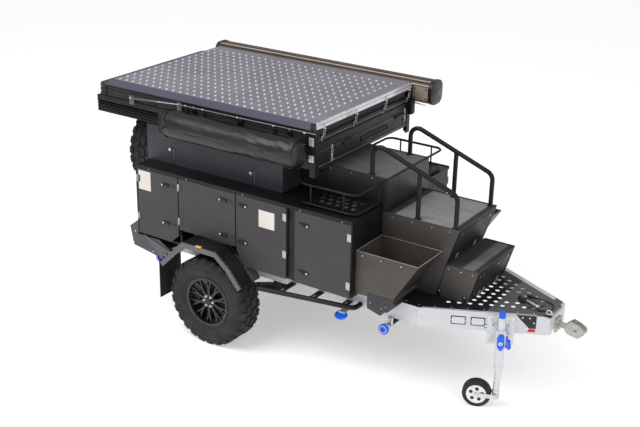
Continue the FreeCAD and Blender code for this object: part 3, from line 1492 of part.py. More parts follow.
def main():
    os.makedirs("parts", exist_ok=True)
    pieces = {
        "main_rails": main_rails(), "cross_members": cross_members(),
        "drawbar_rails": drawbar_rails(), "drawbar_deck": drawbar_deck(),
        "coupling": coupling(), "suspension_arms": suspension_arms(),
        "suspension_hangers": suspension_hangers(), "suspension_springs": suspension_springs(),
        "body_floor": body_floor(), "body_roof": body_roof(), "body_walls": body_walls(),
        "upper_pod": upper_pod(), "tent_base": tent_base(), "tent_canvas": tent_canvas(),
        "tent_lid": tent_lid(), "lid_rail": lid_rail(), "side_bag": side_bag(),
        "awning_case": awning_case(), "awning_brackets": awning_brackets(),
        "upper_step": upper_step(), "middle_step": middle_step(), "lower_step": lower_step(),
        "middle_flap": riser_flap(middle_step_foot_x, lower_step_top_z, middle_step_front_x,
                                  middle_step_top_z),
        "lower_flap": riser_flap(lower_step_foot_x, body_bottom_z + deck_sheet,
                                 lower_step_front_x, lower_step_top_z),
        "handrails": handrails(), "ledge_baskets": ledge_baskets(), "can_bins": can_bins(),
        "mudguards": mudguards(), "mudflaps": mudflaps(), "side_markers": side_markers(),
        "side_sliders": side_sliders(), "rear_bumper": rear_bumper(), "shackles": shackles(),
        "tail_lamps": tail_lamps(), "stabiliser_legs": stabiliser_legs(),
        "stabiliser_feet": stabiliser_feet(), "spare_carrier": spare_carrier(),
        "spare_tyre": spare_place(tyre()), "spare_rim": spare_place(rim()),
        "jockey_clamp": jockey_clamp(), "jockey_stem": jockey_stem(),
        "jockey_handles": jockey_handles(), "jockey_fork": jockey_fork(),
        "jockey_rim": jockey_rim(), "jockey_tyre": jockey_tyre(),
        "trailer_lead": trailer_lead(), "lead_gland": lead_gland(), "lead_plug": lead_plug(),
    }
    left_tyre, left_rim = on_left(tyre()), on_left(rim())
    pieces["tyre_left"], pieces["rim_left"] = left_tyre, left_rim
    pieces["tyre_right"], pieces["rim_right"] = mirrored(left_tyre), mirrored(left_rim)
    for number, (outline, hinge_end) in enumerate(door_outlines(), start=1):
        left = door(outline, hinge_end)
        pieces["door_left_%d" % number] = left
        pieces["door_right_%d" % number] = mirrored(left)
    for name, shape in pieces.items():
        write(name, shape)
    print("middle_x", middle_x, "stem_y", stem_y, "turn", math.degrees(drawbar_turn))
    print("flap axes", flap_axis(middle_step_foot_x, lower_step_top_z, middle_step_front_x,
                                 middle_step_top_z),
          flap_axis(lower_step_foot_x, body_bottom_z + deck_sheet, lower_step_front_x,
                    lower_step_top_z))
    print("lead bends", [round(r) for r in cord_bends(lead_points)])


main()
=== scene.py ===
import math

import bmesh
import bpy
from mathutils import Matrix, Vector, noise


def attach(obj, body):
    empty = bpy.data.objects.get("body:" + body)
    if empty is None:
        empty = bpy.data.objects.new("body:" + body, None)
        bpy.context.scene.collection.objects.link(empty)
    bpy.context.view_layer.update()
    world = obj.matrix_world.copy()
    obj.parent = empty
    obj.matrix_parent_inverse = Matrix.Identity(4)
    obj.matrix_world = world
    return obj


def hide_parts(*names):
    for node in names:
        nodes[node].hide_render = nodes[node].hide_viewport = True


# Off-road camper trailer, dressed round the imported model. Metres, +X to the coupling, +Z up.
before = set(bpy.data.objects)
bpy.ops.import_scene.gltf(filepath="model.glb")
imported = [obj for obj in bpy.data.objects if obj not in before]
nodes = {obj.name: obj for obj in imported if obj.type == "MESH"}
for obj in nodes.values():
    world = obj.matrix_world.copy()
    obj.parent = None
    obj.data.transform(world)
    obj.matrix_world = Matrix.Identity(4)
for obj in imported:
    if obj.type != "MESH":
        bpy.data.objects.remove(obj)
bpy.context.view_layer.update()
axleX = -0.8475                     # the axle's place along the trailer
print("frame loaded:", len(nodes), "nodes")


# Camera

camera = {"x": 4.7837, "y": -7.7162, "z": 4.8295, "yaw": 0.583, "pitch": 0.3878, "roll": 0.0196,
          "lens": 64.05, "sensor": 36.0}


def makeCamera(c):
    aim = Vector((-math.sin(c["yaw"]) * math.cos(c["pitch"]),
                  math.cos(c["yaw"]) * math.cos(c["pitch"]), -math.sin(c["pitch"])))
    right = Vector((math.cos(c["yaw"]), math.sin(c["yaw"]), 0))
    turned = Matrix((right, right.cross(aim), -aim)).transposed()
    data = bpy.data.cameras.new("photoCamera")
    data.lens, data.sensor_width = c["lens"], c["sensor"]
    cam = bpy.data.objects.new("photoCamera", data)
    bpy.context.scene.collection.objects.link(cam)
    roll = Matrix.Rotation(c["roll"], 3, "Z")
    cam.matrix_world = Matrix.Translation((c["x"], c["y"], c["z"])) @ (turned @ roll).to_4x4()
    bpy.context.scene.camera = cam


makeCamera(camera)
bpy.context.scene.view_settings.view_transform = "Standard"


# Node helpers: every pattern reads object coordinates, so it stays put on its piece

def linear(colour):
    shares = [v / 255 for v in colour]
    return tuple(v / 12.92 if v <= 0.04045 else ((v + 0.055) / 1.055) ** 2.4
                 for v in shares) + (1.0,)


def newNode(tree, kind, values=None, **settings):
    node = tree.nodes.new(kind)
    for name, value in settings.items():
        setattr(node, name, value)
    for key, value in (values or {}).items():
        node.inputs[key].default_value = value
    return node


def objectPlace(tree, output="Object"):
    return newNode(tree, "ShaderNodeTexCoord").outputs[output]


def math2(tree, operation, a, b=0.0):
    node = newNode(tree, "ShaderNodeMath", operation=operation)
    for socket, value in zip(node.inputs, (a, b)):
        if isinstance(value, (int, float)):
            socket.default_value = value
        else:
            tree.links.new(value, socket)
    return node.outputs[0]


def cloud(tree, scale, detail=3.0, stretch=None):
    node = newNode(tree, "ShaderNodeTexNoise", {"Scale": scale, "Detail": detail})
    place = objectPlace(tree)
    if stretch:
        mapping = newNode(tree, "ShaderNodeMapping", {"Scale": stretch})
        tree.links.new(place, mapping.inputs["Vector"])
        place = mapping.outputs["Vector"]
    tree.links.new(place, node.inputs["Vector"])
    return node.outputs["Fac"]


def spread(tree, value, low, high, toLow=0.0, toHigh=1.0):
    node = newNode(tree, "ShaderNodeMapRange",
                   {"From Min": low, "From Max": high, "To Min": toLow, "To Max": toHigh})
    tree.links.new(value, node.inputs["Value"])
    return node.outputs["Result"]


def mixColours(tree, factor, first, second):
    node = newNode(tree, "ShaderNodeMix", data_type="RGBA")
    tree.links.new(factor, node.inputs["Factor"])
    for socket, colour in (("A", first), ("B", second)):
        target = [i for i in node.inputs if i.name == socket and i.type == "RGBA"][0]
        if hasattr(colour, "is_output"):
            tree.links.new(colour, target)
        else:
            target.default_value = linear(colour)
    return [o for o in node.outputs if o.type == "RGBA"][0]


def startFinish(name, look):
    material = bpy.data.materials.new(name)
    material.use_nodes = True
    tree = material.node_tree
    shader = tree.nodes["Principled BSDF"]
    shader.inputs["Base Color"].default_value = linear(look["colour"])
    shader.inputs["Roughness"].default_value = look["rough"]
    shader.inputs["Metallic"].default_value = look.get("metal", 0.0)
    shader.inputs["Coat Weight"].default_value = look.get("coat", 0.0)
    shader.inputs["Specular IOR Level"].default_value = look.get("gloss", 0.5)
    return material, tree, shader


def bumpBy(tree, shader, height, depth, strength=1.0):
    bump = newNode(tree, "ShaderNodeBump", {"Strength": strength, "Distance": depth})
    tree.links.new(height, bump.inputs["Height"])
    tree.links.new(bump.outputs["Normal"], shader.inputs["Normal"])


def colourFrom(tree, shader, colour):
    tree.links.new(colour, shader.inputs["Base Color"])


def roughFrom(tree, shader, value, low, high):
    tree.links.new(spread(tree, value, 0.3, 0.7, low, high), shader.inputs["Roughness"])


# Finishes

def powderCoat(name, look):
    material, tree, shader = startFinish(name, look)
    patches = cloud(tree, look.get("patch", 5.0))
    coat = mixColours(tree, spread(tree, patches, 0.35, 0.65), look["colour"], look["worn"])
    if "split" in look:
        axes = newNode(tree, "ShaderNodeSeparateXYZ")
        tree.links.new(objectPlace(tree), axes.inputs[0])
        ahead = spread(tree, axes.outputs["X"], look["split"], look["split"] + 0.002)
        coat = mixColours(tree, ahead, coat, look["front"])
    colourFrom(tree, shader, coat)
    roughFrom(tree, shader, cloud(tree, 14.0), look["rough"] - 0.06, look["rough"] + 0.08)
    grain = cloud(tree, look.get("grain", 700.0), 2.0)
    bumpBy(tree, shader, grain, look.get("depth", 0.0004), 0.35)
    return material


def chequerHeight(tree, pitch, plane, length, width):
    axes = newNode(tree, "ShaderNodeSeparateXYZ")
    tree.links.new(objectPlace(tree), axes.inputs[0])
    u = math2(tree, "MULTIPLY", axes.outputs[plane[0]], 1 / pitch)
    v = math2(tree, "MULTIPLY", axes.outputs[plane[1]], 1 / pitch)
    parity = math2(tree, "MODULO", math2(tree, "ABSOLUTE", math2(
        tree, "ADD", math2(tree, "FLOOR", u), math2(tree, "FLOOR", v))), 2.0)
    x = math2(tree, "SUBTRACT", math2(tree, "FRACT", u), 0.5)
    y = math2(tree, "SUBTRACT", math2(tree, "FRACT", v), 0.5)
    up, down = math2(tree, "ADD", x, y), math2(tree, "SUBTRACT", x, y)
    swap = math2(tree, "SUBTRACT", 1.0, parity)
    along = math2(tree, "ADD", math2(tree, "MULTIPLY", up, parity),
                  math2(tree, "MULTIPLY", down, swap))
    across = math2(tree, "ADD", math2(tree, "MULTIPLY", up, swap),
                   math2(tree, "MULTIPLY", down, parity))
    far = math2(tree, "ADD",
                math2(tree, "POWER", math2(tree, "MULTIPLY", along, 1 / length), 2.0),
                math2(tree, "POWER", math2(tree, "MULTIPLY", across, 1 / width), 2.0))
    return spread(tree, far, 1.0, 0.35)


def treadPlate(name, look):
    material, tree, shader = startFinish(name, look)
    bars = chequerHeight(tree, look["pitch"], look["plane"], *look.get("bar", (0.62, 0.17)))
    patches = mixColours(tree, spread(tree, cloud(tree, 3.0), 0.35, 0.65), look["colour"],
                         look["worn"])
    plate = mixColours(tree, bars, patches, look["raised"])
    if "side" in look:
        facing = newNode(tree, "ShaderNodeSeparateXYZ")
        tree.links.new(objectPlace(tree, "Normal"), facing.inputs[0])
        plate = mixColours(tree, spread(tree, facing.outputs["Z"], 0.9, 0.97), look["side"], plate)
    colourFrom(tree, shader, plate)
    tree.links.new(spread(tree, bars, 0.0, 1.0, look["rough"], look["raisedRough"]),
                   shader.inputs["Roughness"])
    bumpBy(tree, shader, bars, look["depth"])
    return material


def zincCoat(name, look):
    material, tree, shader = startFinish(name, look)
    cells = newNode(tree, "ShaderNodeTexVoronoi", {"Scale": look["spangle"]})
    tree.links.new(objectPlace(tree), cells.inputs["Vector"])
    flake = newNode(tree, "ShaderNodeSeparateColor")
    tree.links.new(cells.outputs["Color"], flake.inputs[0])
    colourFrom(tree, shader, mixColours(tree, flake.outputs[0], look["colour"], look["worn"]))
    tree.links.new(spread(tree, flake.outputs[1], 0.0, 1.0, look["rough"] - 0.08,
                          look["rough"] + 0.1), shader.inputs["Roughness"])
    bumpBy(tree, shader, cloud(tree, 90.0), 0.0005, 0.25)
    return material


def rubberCompound(name, look):
    material, tree, shader = startFinish(name, look)
    dust = spread(tree, cloud(tree, look["patch"], 5.0), 0.42, 0.72)
    colourFrom(tree, shader, mixColours(tree, dust, look["colour"], look["worn"]))
    roughFrom(tree, shader, cloud(tree, 60.0), look["rough"] - 0.07, look["rough"] + 0.07)
    bumpBy(tree, shader, cloud(tree, 420.0, 4.0), 0.0008, 0.4)
    return material


def abrasiveTread(name, look):
    material, tree, shader = startFinish(name, look)
    facing = newNode(tree, "ShaderNodeSeparateXYZ")
    tree.links.new(objectPlace(tree, "Normal"), facing.inputs[0])
    top = spread(tree, facing.outputs["Z"], 0.85, 0.95)
    grit = cloud(tree, 900.0, 4.0)
    smear = cloud(tree, 4.0, 5.0, (1.0, 4.0, 1.0))
    surface = mixColours(tree, spread(tree, smear, 0.3, 0.7), look["top"], look["worn"])
    gritty = mixColours(tree, spread(tree, grit, 0.5, 0.68), surface, look["sparkle"])
    colourFrom(tree, shader, mixColours(tree, top, look["colour"], gritty))
    tree.links.new(spread(tree, top, 0.0, 1.0, look["rough"], 0.85), shader.inputs["Roughness"])
    bumpBy(tree, shader, grit, 0.0012, 0.5)
    return material


def wovenCloth(name, look):
    material, tree, shader = startFinish(name, look)
    threads = []
    for direction in ("X", "Y", "Z"):
        wave = newNode(tree, "ShaderNodeTexWave", {"Scale": look["threads"], "Distortion": 0.4},
                       bands_direction=direction)
        tree.links.new(objectPlace(tree), wave.inputs["Vector"])
        threads.append(wave.outputs["Fac"])
    weave = math2(tree, "MULTIPLY", math2(tree, "ADD", threads[0], threads[1]), threads[2])
    folds = cloud(tree, look["patch"], 4.0)
    colourFrom(tree, shader, mixColours(tree, spread(tree, folds, 0.35, 0.7), look["colour"],
                                        look["worn"]))
    shader.inputs["Sheen Weight"].default_value = look["sheen"]
    height = math2(tree, "ADD", math2(tree, "MULTIPLY", weave, 0.25), folds)
    bumpBy(tree, shader, height, 0.003, 0.5)
    return material


def coatedVinyl(name, look):
    material, tree, shader = startFinish(name, look)
    grain = newNode(tree, "ShaderNodeTexVoronoi", {"Scale": look["grain"]})
    tree.links.new(objectPlace(tree), grain.inputs["Vector"])
    creases = cloud(tree, look["patch"], 5.0, (0.7, 1.0, 2.0))
    colourFrom(tree, shader, mixColours(tree, spread(tree, creases, 0.35, 0.7), look["colour"],
                                        look["worn"]))
    roughFrom(tree, shader, creases, look["rough"] - 0.08, look["rough"] + 0.12)
    height = math2(tree, "ADD", math2(tree, "MULTIPLY", grain.outputs["Distance"], 0.06), creases)
    bumpBy(tree, shader, height, 0.0035, 0.4)
    return material


def ribbedLens(name, look):
    material, tree, shader = startFinish(name, look)
    wave = newNode(tree, "ShaderNodeTexWave", {"Scale": look["ribs"]}, bands_direction="Y")
    tree.links.new(objectPlace(tree), wave.inputs["Vector"])
    colourFrom(tree, shader, mixColours(tree, wave.outputs["Fac"], look["colour"], look["worn"]))
    bumpBy(tree, shader, wave.outputs["Fac"], 0.0015, 0.6)
    return material


# Each finish: colour, the colour where it is worn, roughness, and what its own function reads
finishes = {
    powderCoat: {
        "satinBlack": ((15, 15, 16), (24, 24, 26), 0.38, {"gloss": 0.25}),
        "chassisBlack": ((17, 17, 18), (28, 28, 29), 0.45, {"gloss": 0.3}),
        "latchBlack": ((20, 20, 21), (30, 30, 31), 0.32, {"gloss": 0.4}),
        "tentBoard": ((22, 24, 27), (28, 29, 31), 0.42, {"gloss": 0.22}),
        "linerBlack": ((18, 18, 18), (34, 33, 33), 0.5, {"gloss": 0.25}),
        "gussetPaintedLight": ((78, 79, 82), (92, 93, 96), 0.45, {}),
        # foldLight grey also paints the sheen on the gas strut's black satin cylinder
        "foldLight": ((66, 68, 70), (84, 86, 88), 0.4, {}),
        "lidFold": ((112, 112, 128), (126, 126, 140), 0.4, {}),
        "bracketBeige": ((128, 116, 104), (146, 134, 120), 0.42, {}),
        "binEdge": ((120, 114, 108), (142, 136, 128), 0.4, {}),
        "bowDark": ((60, 16, 14), (82, 24, 20), 0.35, {}),
        "railGrey": ((120, 120, 124), (136, 136, 140), 0.4, {}),
        "lineBlue": ((128, 134, 146), (146, 150, 160), 0.35, {}),
        "bumperGrey": ((58, 59, 63), (68, 69, 73), 0.45, {}),
        "stepBlack": ((26, 26, 28), (36, 35, 36), 0.35, {"gloss": 0.4}),
        "doorCharcoal": ((57, 55, 58), (61, 59, 62), 0.5, {"grain": 900.0, "gloss": 0.3}),
        # lidBar is a painted highlight: the bright set of lid bars, though both sets share the
        # plate's own tone
        "lidBar": ((212, 210, 218), (232, 230, 236), 0.26, {"metal": 0.45}),
        "lidBarLow": ((124, 121, 131), (134, 131, 141), 0.36, {"metal": 0.25}),
        "deckCoat": ((26, 26, 28), (36, 36, 38), 0.42, {"gloss": 0.3, "split": 1.5,
            "front": (84, 82, 86)}),
        "binPaint": ((66, 61, 57), (73, 68, 63), 0.5, {"gloss": 0.35}),
        "flapGloss": ((18, 18, 19), (26, 26, 27), 0.52, {"gloss": 0.3}),
        "rimBlack": ((14, 14, 15), (21, 21, 22), 0.26, {"gloss": 0.45}),
        "awningBrown": ((56, 47, 42), (66, 56, 50), 0.4, {}),
        "lifterBlue": ((8, 82, 205), (14, 98, 226), 0.32, {}),
        "shackleRed": ((190, 22, 20), (208, 34, 30), 0.35, {}),
        "wheelWhite": ((210, 212, 215), (226, 228, 230), 0.35, {}),
        "platePale": ((206, 199, 190), (214, 207, 199), 0.6, {}),
    },
    treadPlate: {
        "podBlack": ((48, 49, 56), (54, 55, 62), 0.44, {"raised": (62, 63, 71),
            "raisedRough": 0.38, "pitch": 0.035, "gloss": 0.35, "plane": ("X", "Z"),
            "depth": 0.0014}),
        "ledgeTread": ((14, 14, 16), (20, 20, 22), 0.4, {"raised": (44, 44, 50),
            "raisedRough": 0.25, "pitch": 0.04, "gloss": 0.4, "plane": ("X", "Y"),
            "depth": 0.002}),
        "skirtPlate": ((42, 42, 46), (48, 48, 52), 0.4, {"raised": (62, 62, 68),
            "raisedRough": 0.3, "pitch": 0.026, "metal": 0.2, "plane": ("X", "Z"),
            "depth": 0.0016}),
        "lidTread": ((120, 117, 127), (131, 129, 138), 0.42, {"raised": (130, 128, 137),
            "raisedRough": 0.34, "metal": 0.25, "pitch": 0.0562, "plane": ("X", "Y"),
            "side": (78, 78, 94), "depth": 0.0006, "bar": (0.1, 0.1)}),
        "guardPlate": ((82, 81, 83), (94, 93, 95), 0.42, {"raised": (124, 123, 126),
            "raisedRough": 0.32, "metal": 0.25, "pitch": 0.03, "plane": ("X", "Z"),
            "depth": 0.0014}),
    },
    zincCoat: {
        "spokePaintedHighlight": ((80, 80, 83), (110, 110, 113), 0.3, {"metal": 0.6, "spangle": 40.0}),
        # Cream finish of the awning strips: a painted highlight along the case's rounded corner
        "creamPaintedHighlight": ((186, 168, 148), (204, 188, 168), 0.3, {"metal": 0.35, "spangle": 12.0}),
        "hingeSilver": ((170, 170, 172), (190, 190, 192), 0.34, {"metal": 0.55, "spangle": 20.0}),
        "railZinc": ((196, 198, 201), (206, 208, 211), 0.42, {"metal": 0.3, "spangle": 90.0}),
        "galvanised": ((190, 192, 195), (202, 204, 207), 0.42, {"metal": 0.3, "spangle": 90.0}),
        "brightAlloy": ((206, 207, 210), (218, 219, 222), 0.26, {"metal": 0.5, "spangle": 8.0}),
        "standSilver": ((190, 193, 196), (212, 215, 218), 0.36, {"metal": 0.4, "spangle": 120.0}),
        "castGrey": ((150, 149, 144), (186, 185, 180), 0.42, {"metal": 0.5, "spangle": 190.0}),
    },
    rubberCompound: {
        "tyreWall": ((54, 53, 53), (70, 68, 67), 0.8, {"patch": 9.0}),
        "tyreRubber": ((24, 23, 22), (42, 40, 39), 0.82, {"patch": 9.0}),
        "flapRubber": ((13, 13, 14), (22, 22, 22), 0.7, {"patch": 7.0}),
        "cordJacket": ((26, 26, 27), (36, 36, 37), 0.5, {"patch": 40.0}),
        "plugShell": ((30, 30, 32), (42, 42, 44), 0.45, {"patch": 30.0}),
    },
    abrasiveTread: {
        # A lighter copy of gritMat: painted light on the middle step's mat
        "gritMatPaintedLight": ((72, 72, 74), (134, 134, 138), 0.7, {"top": (108, 108, 111),
            "sparkle": (158, 158, 161)}),
        "stepTread": ((62, 58, 55), (54, 53, 54), 0.48, {"top": (44, 43, 44),
            "sparkle": (60, 59, 60)}),
        "gritMat": ((60, 60, 62), (106, 106, 109), 0.7, {"top": (84, 84, 86),
            "sparkle": (128, 128, 131)}),
        "matEdge": ((40, 40, 41), (66, 66, 68), 0.7, {"top": (54, 54, 56),
            "sparkle": (80, 80, 82)}),
    },
    wovenCloth: {
        "tentCanvas": ((18, 18, 20), (32, 32, 35), 0.85, {"threads": 260.0, "patch": 9.0,
            "sheen": 0.1}),
    },
    coatedVinyl: {
        "bagVinyl": ((10, 10, 11), (16, 16, 17), 0.34, {"grain": 650.0, "patch": 4.5}),
    },
    ribbedLens: {
        "lampRed": ((150, 10, 12), (190, 20, 20), 0.18, {"ribs": 60.0, "coat": 1.0}),
        "lampClear": ((205, 205, 208), (232, 232, 235), 0.15, {"ribs": 60.0, "coat": 1.0}),
        "markerOrange": ((250, 170, 8), (255, 190, 30), 0.2, {"ribs": 120.0, "coat": 1.0}),
        "markerPaintedHighlight": ((250, 168, 20), (255, 196, 60), 0.2, {"ribs": 120.0, "coat": 1.0}),
    },
}
materials = {}
for make, looks in finishes.items():
    for name, (colour, worn, rough, more) in looks.items():
        materials[name] = make(name, {"colour": colour, "worn": worn, "rough": rough, **more})

nodeFinish = {
    "satinBlack": ["body_floor", "body_roof", "body_walls", "tent_base", "handrails",
                   "ledge_baskets"],
    "deckCoat": ["drawbar_deck"],
    "podBlack": ["upper_pod"],
    "bumperGrey": ["rear_bumper"],
    "stepBlack": ["upper_step"],
    "chassisBlack": ["cross_members", "suspension_arms", "suspension_hangers",
                     "suspension_springs", "awning_brackets", "side_sliders",
                     "stabiliser_legs", "spare_carrier"],
    "galvanised": ["drawbar_rails", "main_rails"],
    "castGrey": ["coupling"],
    "standSilver": ["jockey_clamp", "jockey_stem", "jockey_fork"],
    "lidTread": ["tent_lid"],
    "brightAlloy": ["lid_rail"],
    "tentCanvas": ["tent_canvas"],
    "bagVinyl": ["side_bag"],
    "awningBrown": ["awning_case"],
    "stepTread": ["middle_step", "lower_step"],
    "flapGloss": ["middle_flap", "lower_flap"],
    "binPaint": ["can_bins"],
    "guardPlate": ["mudguards"],
    "flapRubber": ["mudflaps"],
    "markerOrange": ["side_markers"],
    "shackleRed": ["shackles"],
    "lampRed": ["tail_lamps"],
    "lifterBlue": ["stabiliser_feet", "jockey_handles"],
    "tyreRubber": ["tyre_left", "tyre_right", "spare_tyre", "jockey_tyre"],
    "rimBlack": ["rim_left", "rim_right", "spare_rim"],
    "wheelWhite": ["jockey_rim"],
    "cordJacket": ["trailer_lead"],
    "plugShell": ["lead_gland", "lead_plug"],
    "doorCharcoal": ["door_%s_%d" % (side, n) for side in ("left", "right") for n in (1, 2, 3, 4)],
}
for finish, names in nodeFinish.items():
    for name in names:
        slots = nodes[name].data.materials
        slots.clear()
        slots.append(materials[finish])
missed = sorted(set(nodes) - {n for names in nodeFinish.values() for n in names})
print("materials on every node, none missed:", not missed, missed)


# Lead to the towing vehicle

lead = {"diameter": 0.012, "taut": 0.97, "route": [
    (1.6975, 0.062, 0.8), (1.7425, 0.062, 0.8), (1.7925, 0.072, 0.793), (1.8445, 0.072, 0.791),
    (1.8905, 0.046, 0.791), (1.9165, -0.002, 0.791), (1.9105, -0.056, 0.791),
    (1.8765, -0.098, 0.791), (1.8285, -0.114, 0.793), (1.7805, -0.102, 0.801),
    (1.7385, -0.078, 0.8063), (1.7005, -0.056, 0.8063)]}


def makeLead(look):
    data = bpy.data.curves.new("towLead", "CURVE")
    data.dimensions = "3D"
    data.bevel_depth = look["diameter"] / 2
    data.bevel_resolution = 4
    data.use_fill_caps = True
    line = data.splines.new("NURBS")
    line.points.add(len(look["route"]) - 1)
    for point, place in zip(line.points, look["route"]):
        point.co = (*place, 1.0)
    line.order_u = 3
    line.use_endpoint_u = True
    line.resolution_u = 12
    data.materials.append(materials["cordJacket"])
    cable = bpy.data.objects.new("towLead", data)
    bpy.context.scene.collection.objects.link(cable)
    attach(cable, "trailer")
    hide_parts("trailer_lead")
    return cable


towLead = makeLead(lead)


# Mesh helpers: a shape is drawn in the axle's frame and moved to its place when it is dressed

def turns(count, first=0.0):
    return [first + 2 * math.pi * i / count for i in range(count)]


def merge(shape, part, skin=0, bevel=0.0, place=None, segments=2):
    if bevel:
        sharp = [e for e in part.edges if e.is_manifold and e.calc_face_angle(0) > 0.6]
        bmesh.ops.bevel(part, geom=sharp, offset=bevel, segments=segments, profile=0.5,
                        affect="EDGES", material=-1)
    for face in part.faces:
        face.material_index = skin
    if place:
        bmesh.ops.transform(part, matrix=place, verts=part.verts)
    mesh = bpy.data.meshes.new("part")
    part.to_mesh(mesh)
    part.free()
    shape.from_mesh(mesh)
    bpy.data.meshes.remove(mesh)


def addBox(shape, first, second, bevel=0.0, skin=0, place=None):
    low, high = zip(*(sorted(pair) for pair in zip(first, second)))
    part = bmesh.new()
    bmesh.ops.create_cube(part, size=1.0)
    bmesh.ops.scale(part, verts=part.verts, vec=[b - a for a, b in zip(low, high)])
    bmesh.ops.translate(part, verts=part.verts, vec=[(a + b) / 2 for a, b in zip(low, high)])
    merge(shape, part, skin, bevel, place)


def addRod(shape, start, end, radius, sides=20, bevel=0.0, skin=0, place=None):
    start, end = Vector(start), Vector(end)
    turn = (end - start).to_track_quat("Z", "Y").to_matrix().to_4x4()
    part = bmesh.new()
    bmesh.ops.create_cone(part, cap_ends=True, segments=sides, radius1=radius,
                          radius2=radius, depth=(end - start).length,
                          matrix=Matrix.Translation((start + end) / 2) @ turn)
    merge(shape, part, skin, bevel, place)


# A hexagon head on its washer: heights and radii are shares of the size
def addBolt(shape, spot, out, size, skin=0, place=None):
    spot, out = Vector(spot), Vector(out).normalized()
    addRod(shape, spot, spot + out * size * 0.22, size * 1.25, 20, size * 0.06, skin, place)
    addRod(shape, spot, spot + out * size * 0.85, size * 0.86, 6, size * 0.1, skin, place)


def addPlate(shape, outline, axis, start, end, bevel=0.0, skin=0, place=None):
    corner = {"x": lambda a, b: (start, a, b), "y": lambda a, b: (a, start, b),
              "z": lambda a, b: (a, b, start)}[axis]
    push = {"x": (end - start, 0, 0), "y": (0, end - start, 0), "z": (0, 0, end - start)}[axis]
    part = bmesh.new()
    face = part.faces.new([part.verts.new(corner(a, b)) for a, b in outline])
    grown = bmesh.ops.extrude_face_region(part, geom=[face])["geom"]
    bmesh.ops.translate(part, verts=[g for g in grown if isinstance(g, bmesh.types.BMVert)],
                        vec=push)
    bmesh.ops.recalc_face_normals(part, faces=part.faces)
    merge(shape, part, skin, bevel, place)


def addSweep(shape, points, radius, skin=0, closed=False, smooth=True, place=None):
    data = bpy.data.curves.new("sweep", "CURVE")
    data.dimensions = "3D"
    line = data.splines.new("NURBS" if smooth else "POLY")
    line.points.add(len(points) - 1)
    for point, spot in zip(line.points, points):
        point.co = (*spot, 1.0)
    line.use_cyclic_u = closed
    if smooth:
        line.order_u = 3
        line.use_endpoint_u = not closed
        line.resolution_u = 6
    data.bevel_depth = radius
    data.bevel_resolution = 2
    data.use_fill_caps = not closed
    holder = bpy.data.objects.new("sweep", data)
    mesh = bpy.data.meshes.new_from_object(holder)
    part = bmesh.new()
    part.from_mesh(mesh)
    bpy.data.objects.remove(holder)
    bpy.data.curves.remove(data)
    bpy.data.meshes.remove(mesh)
    merge(shape, part, skin, 0.0, place)


def addTurned(shape, profile, middle, axis, skin=0, steps=48, place=None):
    middle, axis = Vector(middle), Vector(axis).normalized()
    side = axis.orthogonal().normalized()
    part = bmesh.new()
    rim = [part.verts.new(middle + axis * along + side * radius) for radius, along in profile]
    edges = [part.edges.new(pair) for pair in zip(rim, rim[1:])]
    bmesh.ops.spin(part, geom=rim + edges, cent=middle, axis=axis, angle=2 * math.pi,
                   steps=steps, use_merge=True)
    merge(shape, part, skin, 0.0, place)


def addMirror(shape):
    copies = bmesh.ops.duplicate(shape, geom=shape.verts[:] + shape.edges[:] + shape.faces[:])
    verts = [g for g in copies["geom"] if isinstance(g, bmesh.types.BMVert)]
    faces = [g for g in copies["geom"] if isinstance(g, bmesh.types.BMFace)]
    bmesh.ops.scale(shape, verts=verts, vec=(1, -1, 1))
    bmesh.ops.reverse_faces(shape, faces=faces)


def dress(name, shape, skins, body="trailer", replaces=(), crease=35.0):
    bmesh.ops.translate(shape, verts=shape.verts, vec=(axleX, 0, 0))
    bmesh.ops.recalc_face_normals(shape, faces=shape.faces)
    mesh = bpy.data.meshes.new(name)
    shape.to_mesh(mesh)
    shape.free()
    for skin in skins:
        mesh.materials.append(materials[skin])
    mesh.shade_smooth()
    mesh.set_sharp_from_angle(angle=math.radians(crease))
    piece = bpy.data.objects.new(name, mesh)
    bpy.context.scene.collection.objects.link(piece)
    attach(piece, body)
    if replaces:
        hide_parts(*replaces)
    return piece


# Rows of shapes: a piece is one dictionary that lists them, with its skins and body

toNear, toFar, toTop, toFront, toRear = (0, -1, 0), (0, 1, 0), (0, 0, 1), (1, 0, 0), (-1, 0, 0)


def drawRows(shape, rows, place=None):
    for low, high, bevel, skin in rows.get("boxes", ()):
        addBox(shape, low, high, bevel, skin, place)
    for spots, out, size, skin in rows.get("bolts", ()):
        for spot in spots:
            addBolt(shape, spot, out, size, skin, place)
    for start, end, radius, sides, bevel, skin in rows.get("rods", ()):
        addRod(shape, start, end, radius, sides, bevel, skin, place)
    for profile, middle, axis, skin, steps in rows.get("turned", ()):
        addTurned(shape, profile, middle, axis, skin, steps, place)
    for outline, axis, start, end, bevel, skin in rows.get("plates", ()):
        addPlate(shape, outline, axis, start, end, bevel, skin, place)
    for line, radius, skin, closed, smooth in rows.get("sweeps", ()):
        addSweep(shape, line, radius, skin, closed, smooth, place)


def makeTrim(name, piece):
    shape = bmesh.new()
    drawRows(shape, piece, piece.get("place"))
    for place, rows in piece.get("parts", ()):
        drawRows(shape, rows, place)
    if piece.get("mirror"):
        addMirror(shape)
    dress(name, shape, piece["skins"], body=piece.get("body", "trailer"))


def frameAt(origin, xAxis, yAxis):
    x, y = Vector(xAxis).normalized(), Vector(yAxis).normalized()
    return Matrix.Translation(origin) @ Matrix((x, y, x.cross(y))).transposed().to_4x4()


# Soft pieces

bag = {"rear": -0.43, "front": 0.92, "y": -0.8513, "z": 1.918, "halfY": 0.1125, "halfZ": 0.1265,
       "voxel": 0.0076, "pressure": 4.0, "cap": 0.004, "crown": 0.045, "fold": 0.0045,
       "steps": 60, "slim": 0.955, "grow": 0.0013, "sag": 0.02, "lean": 0.06}


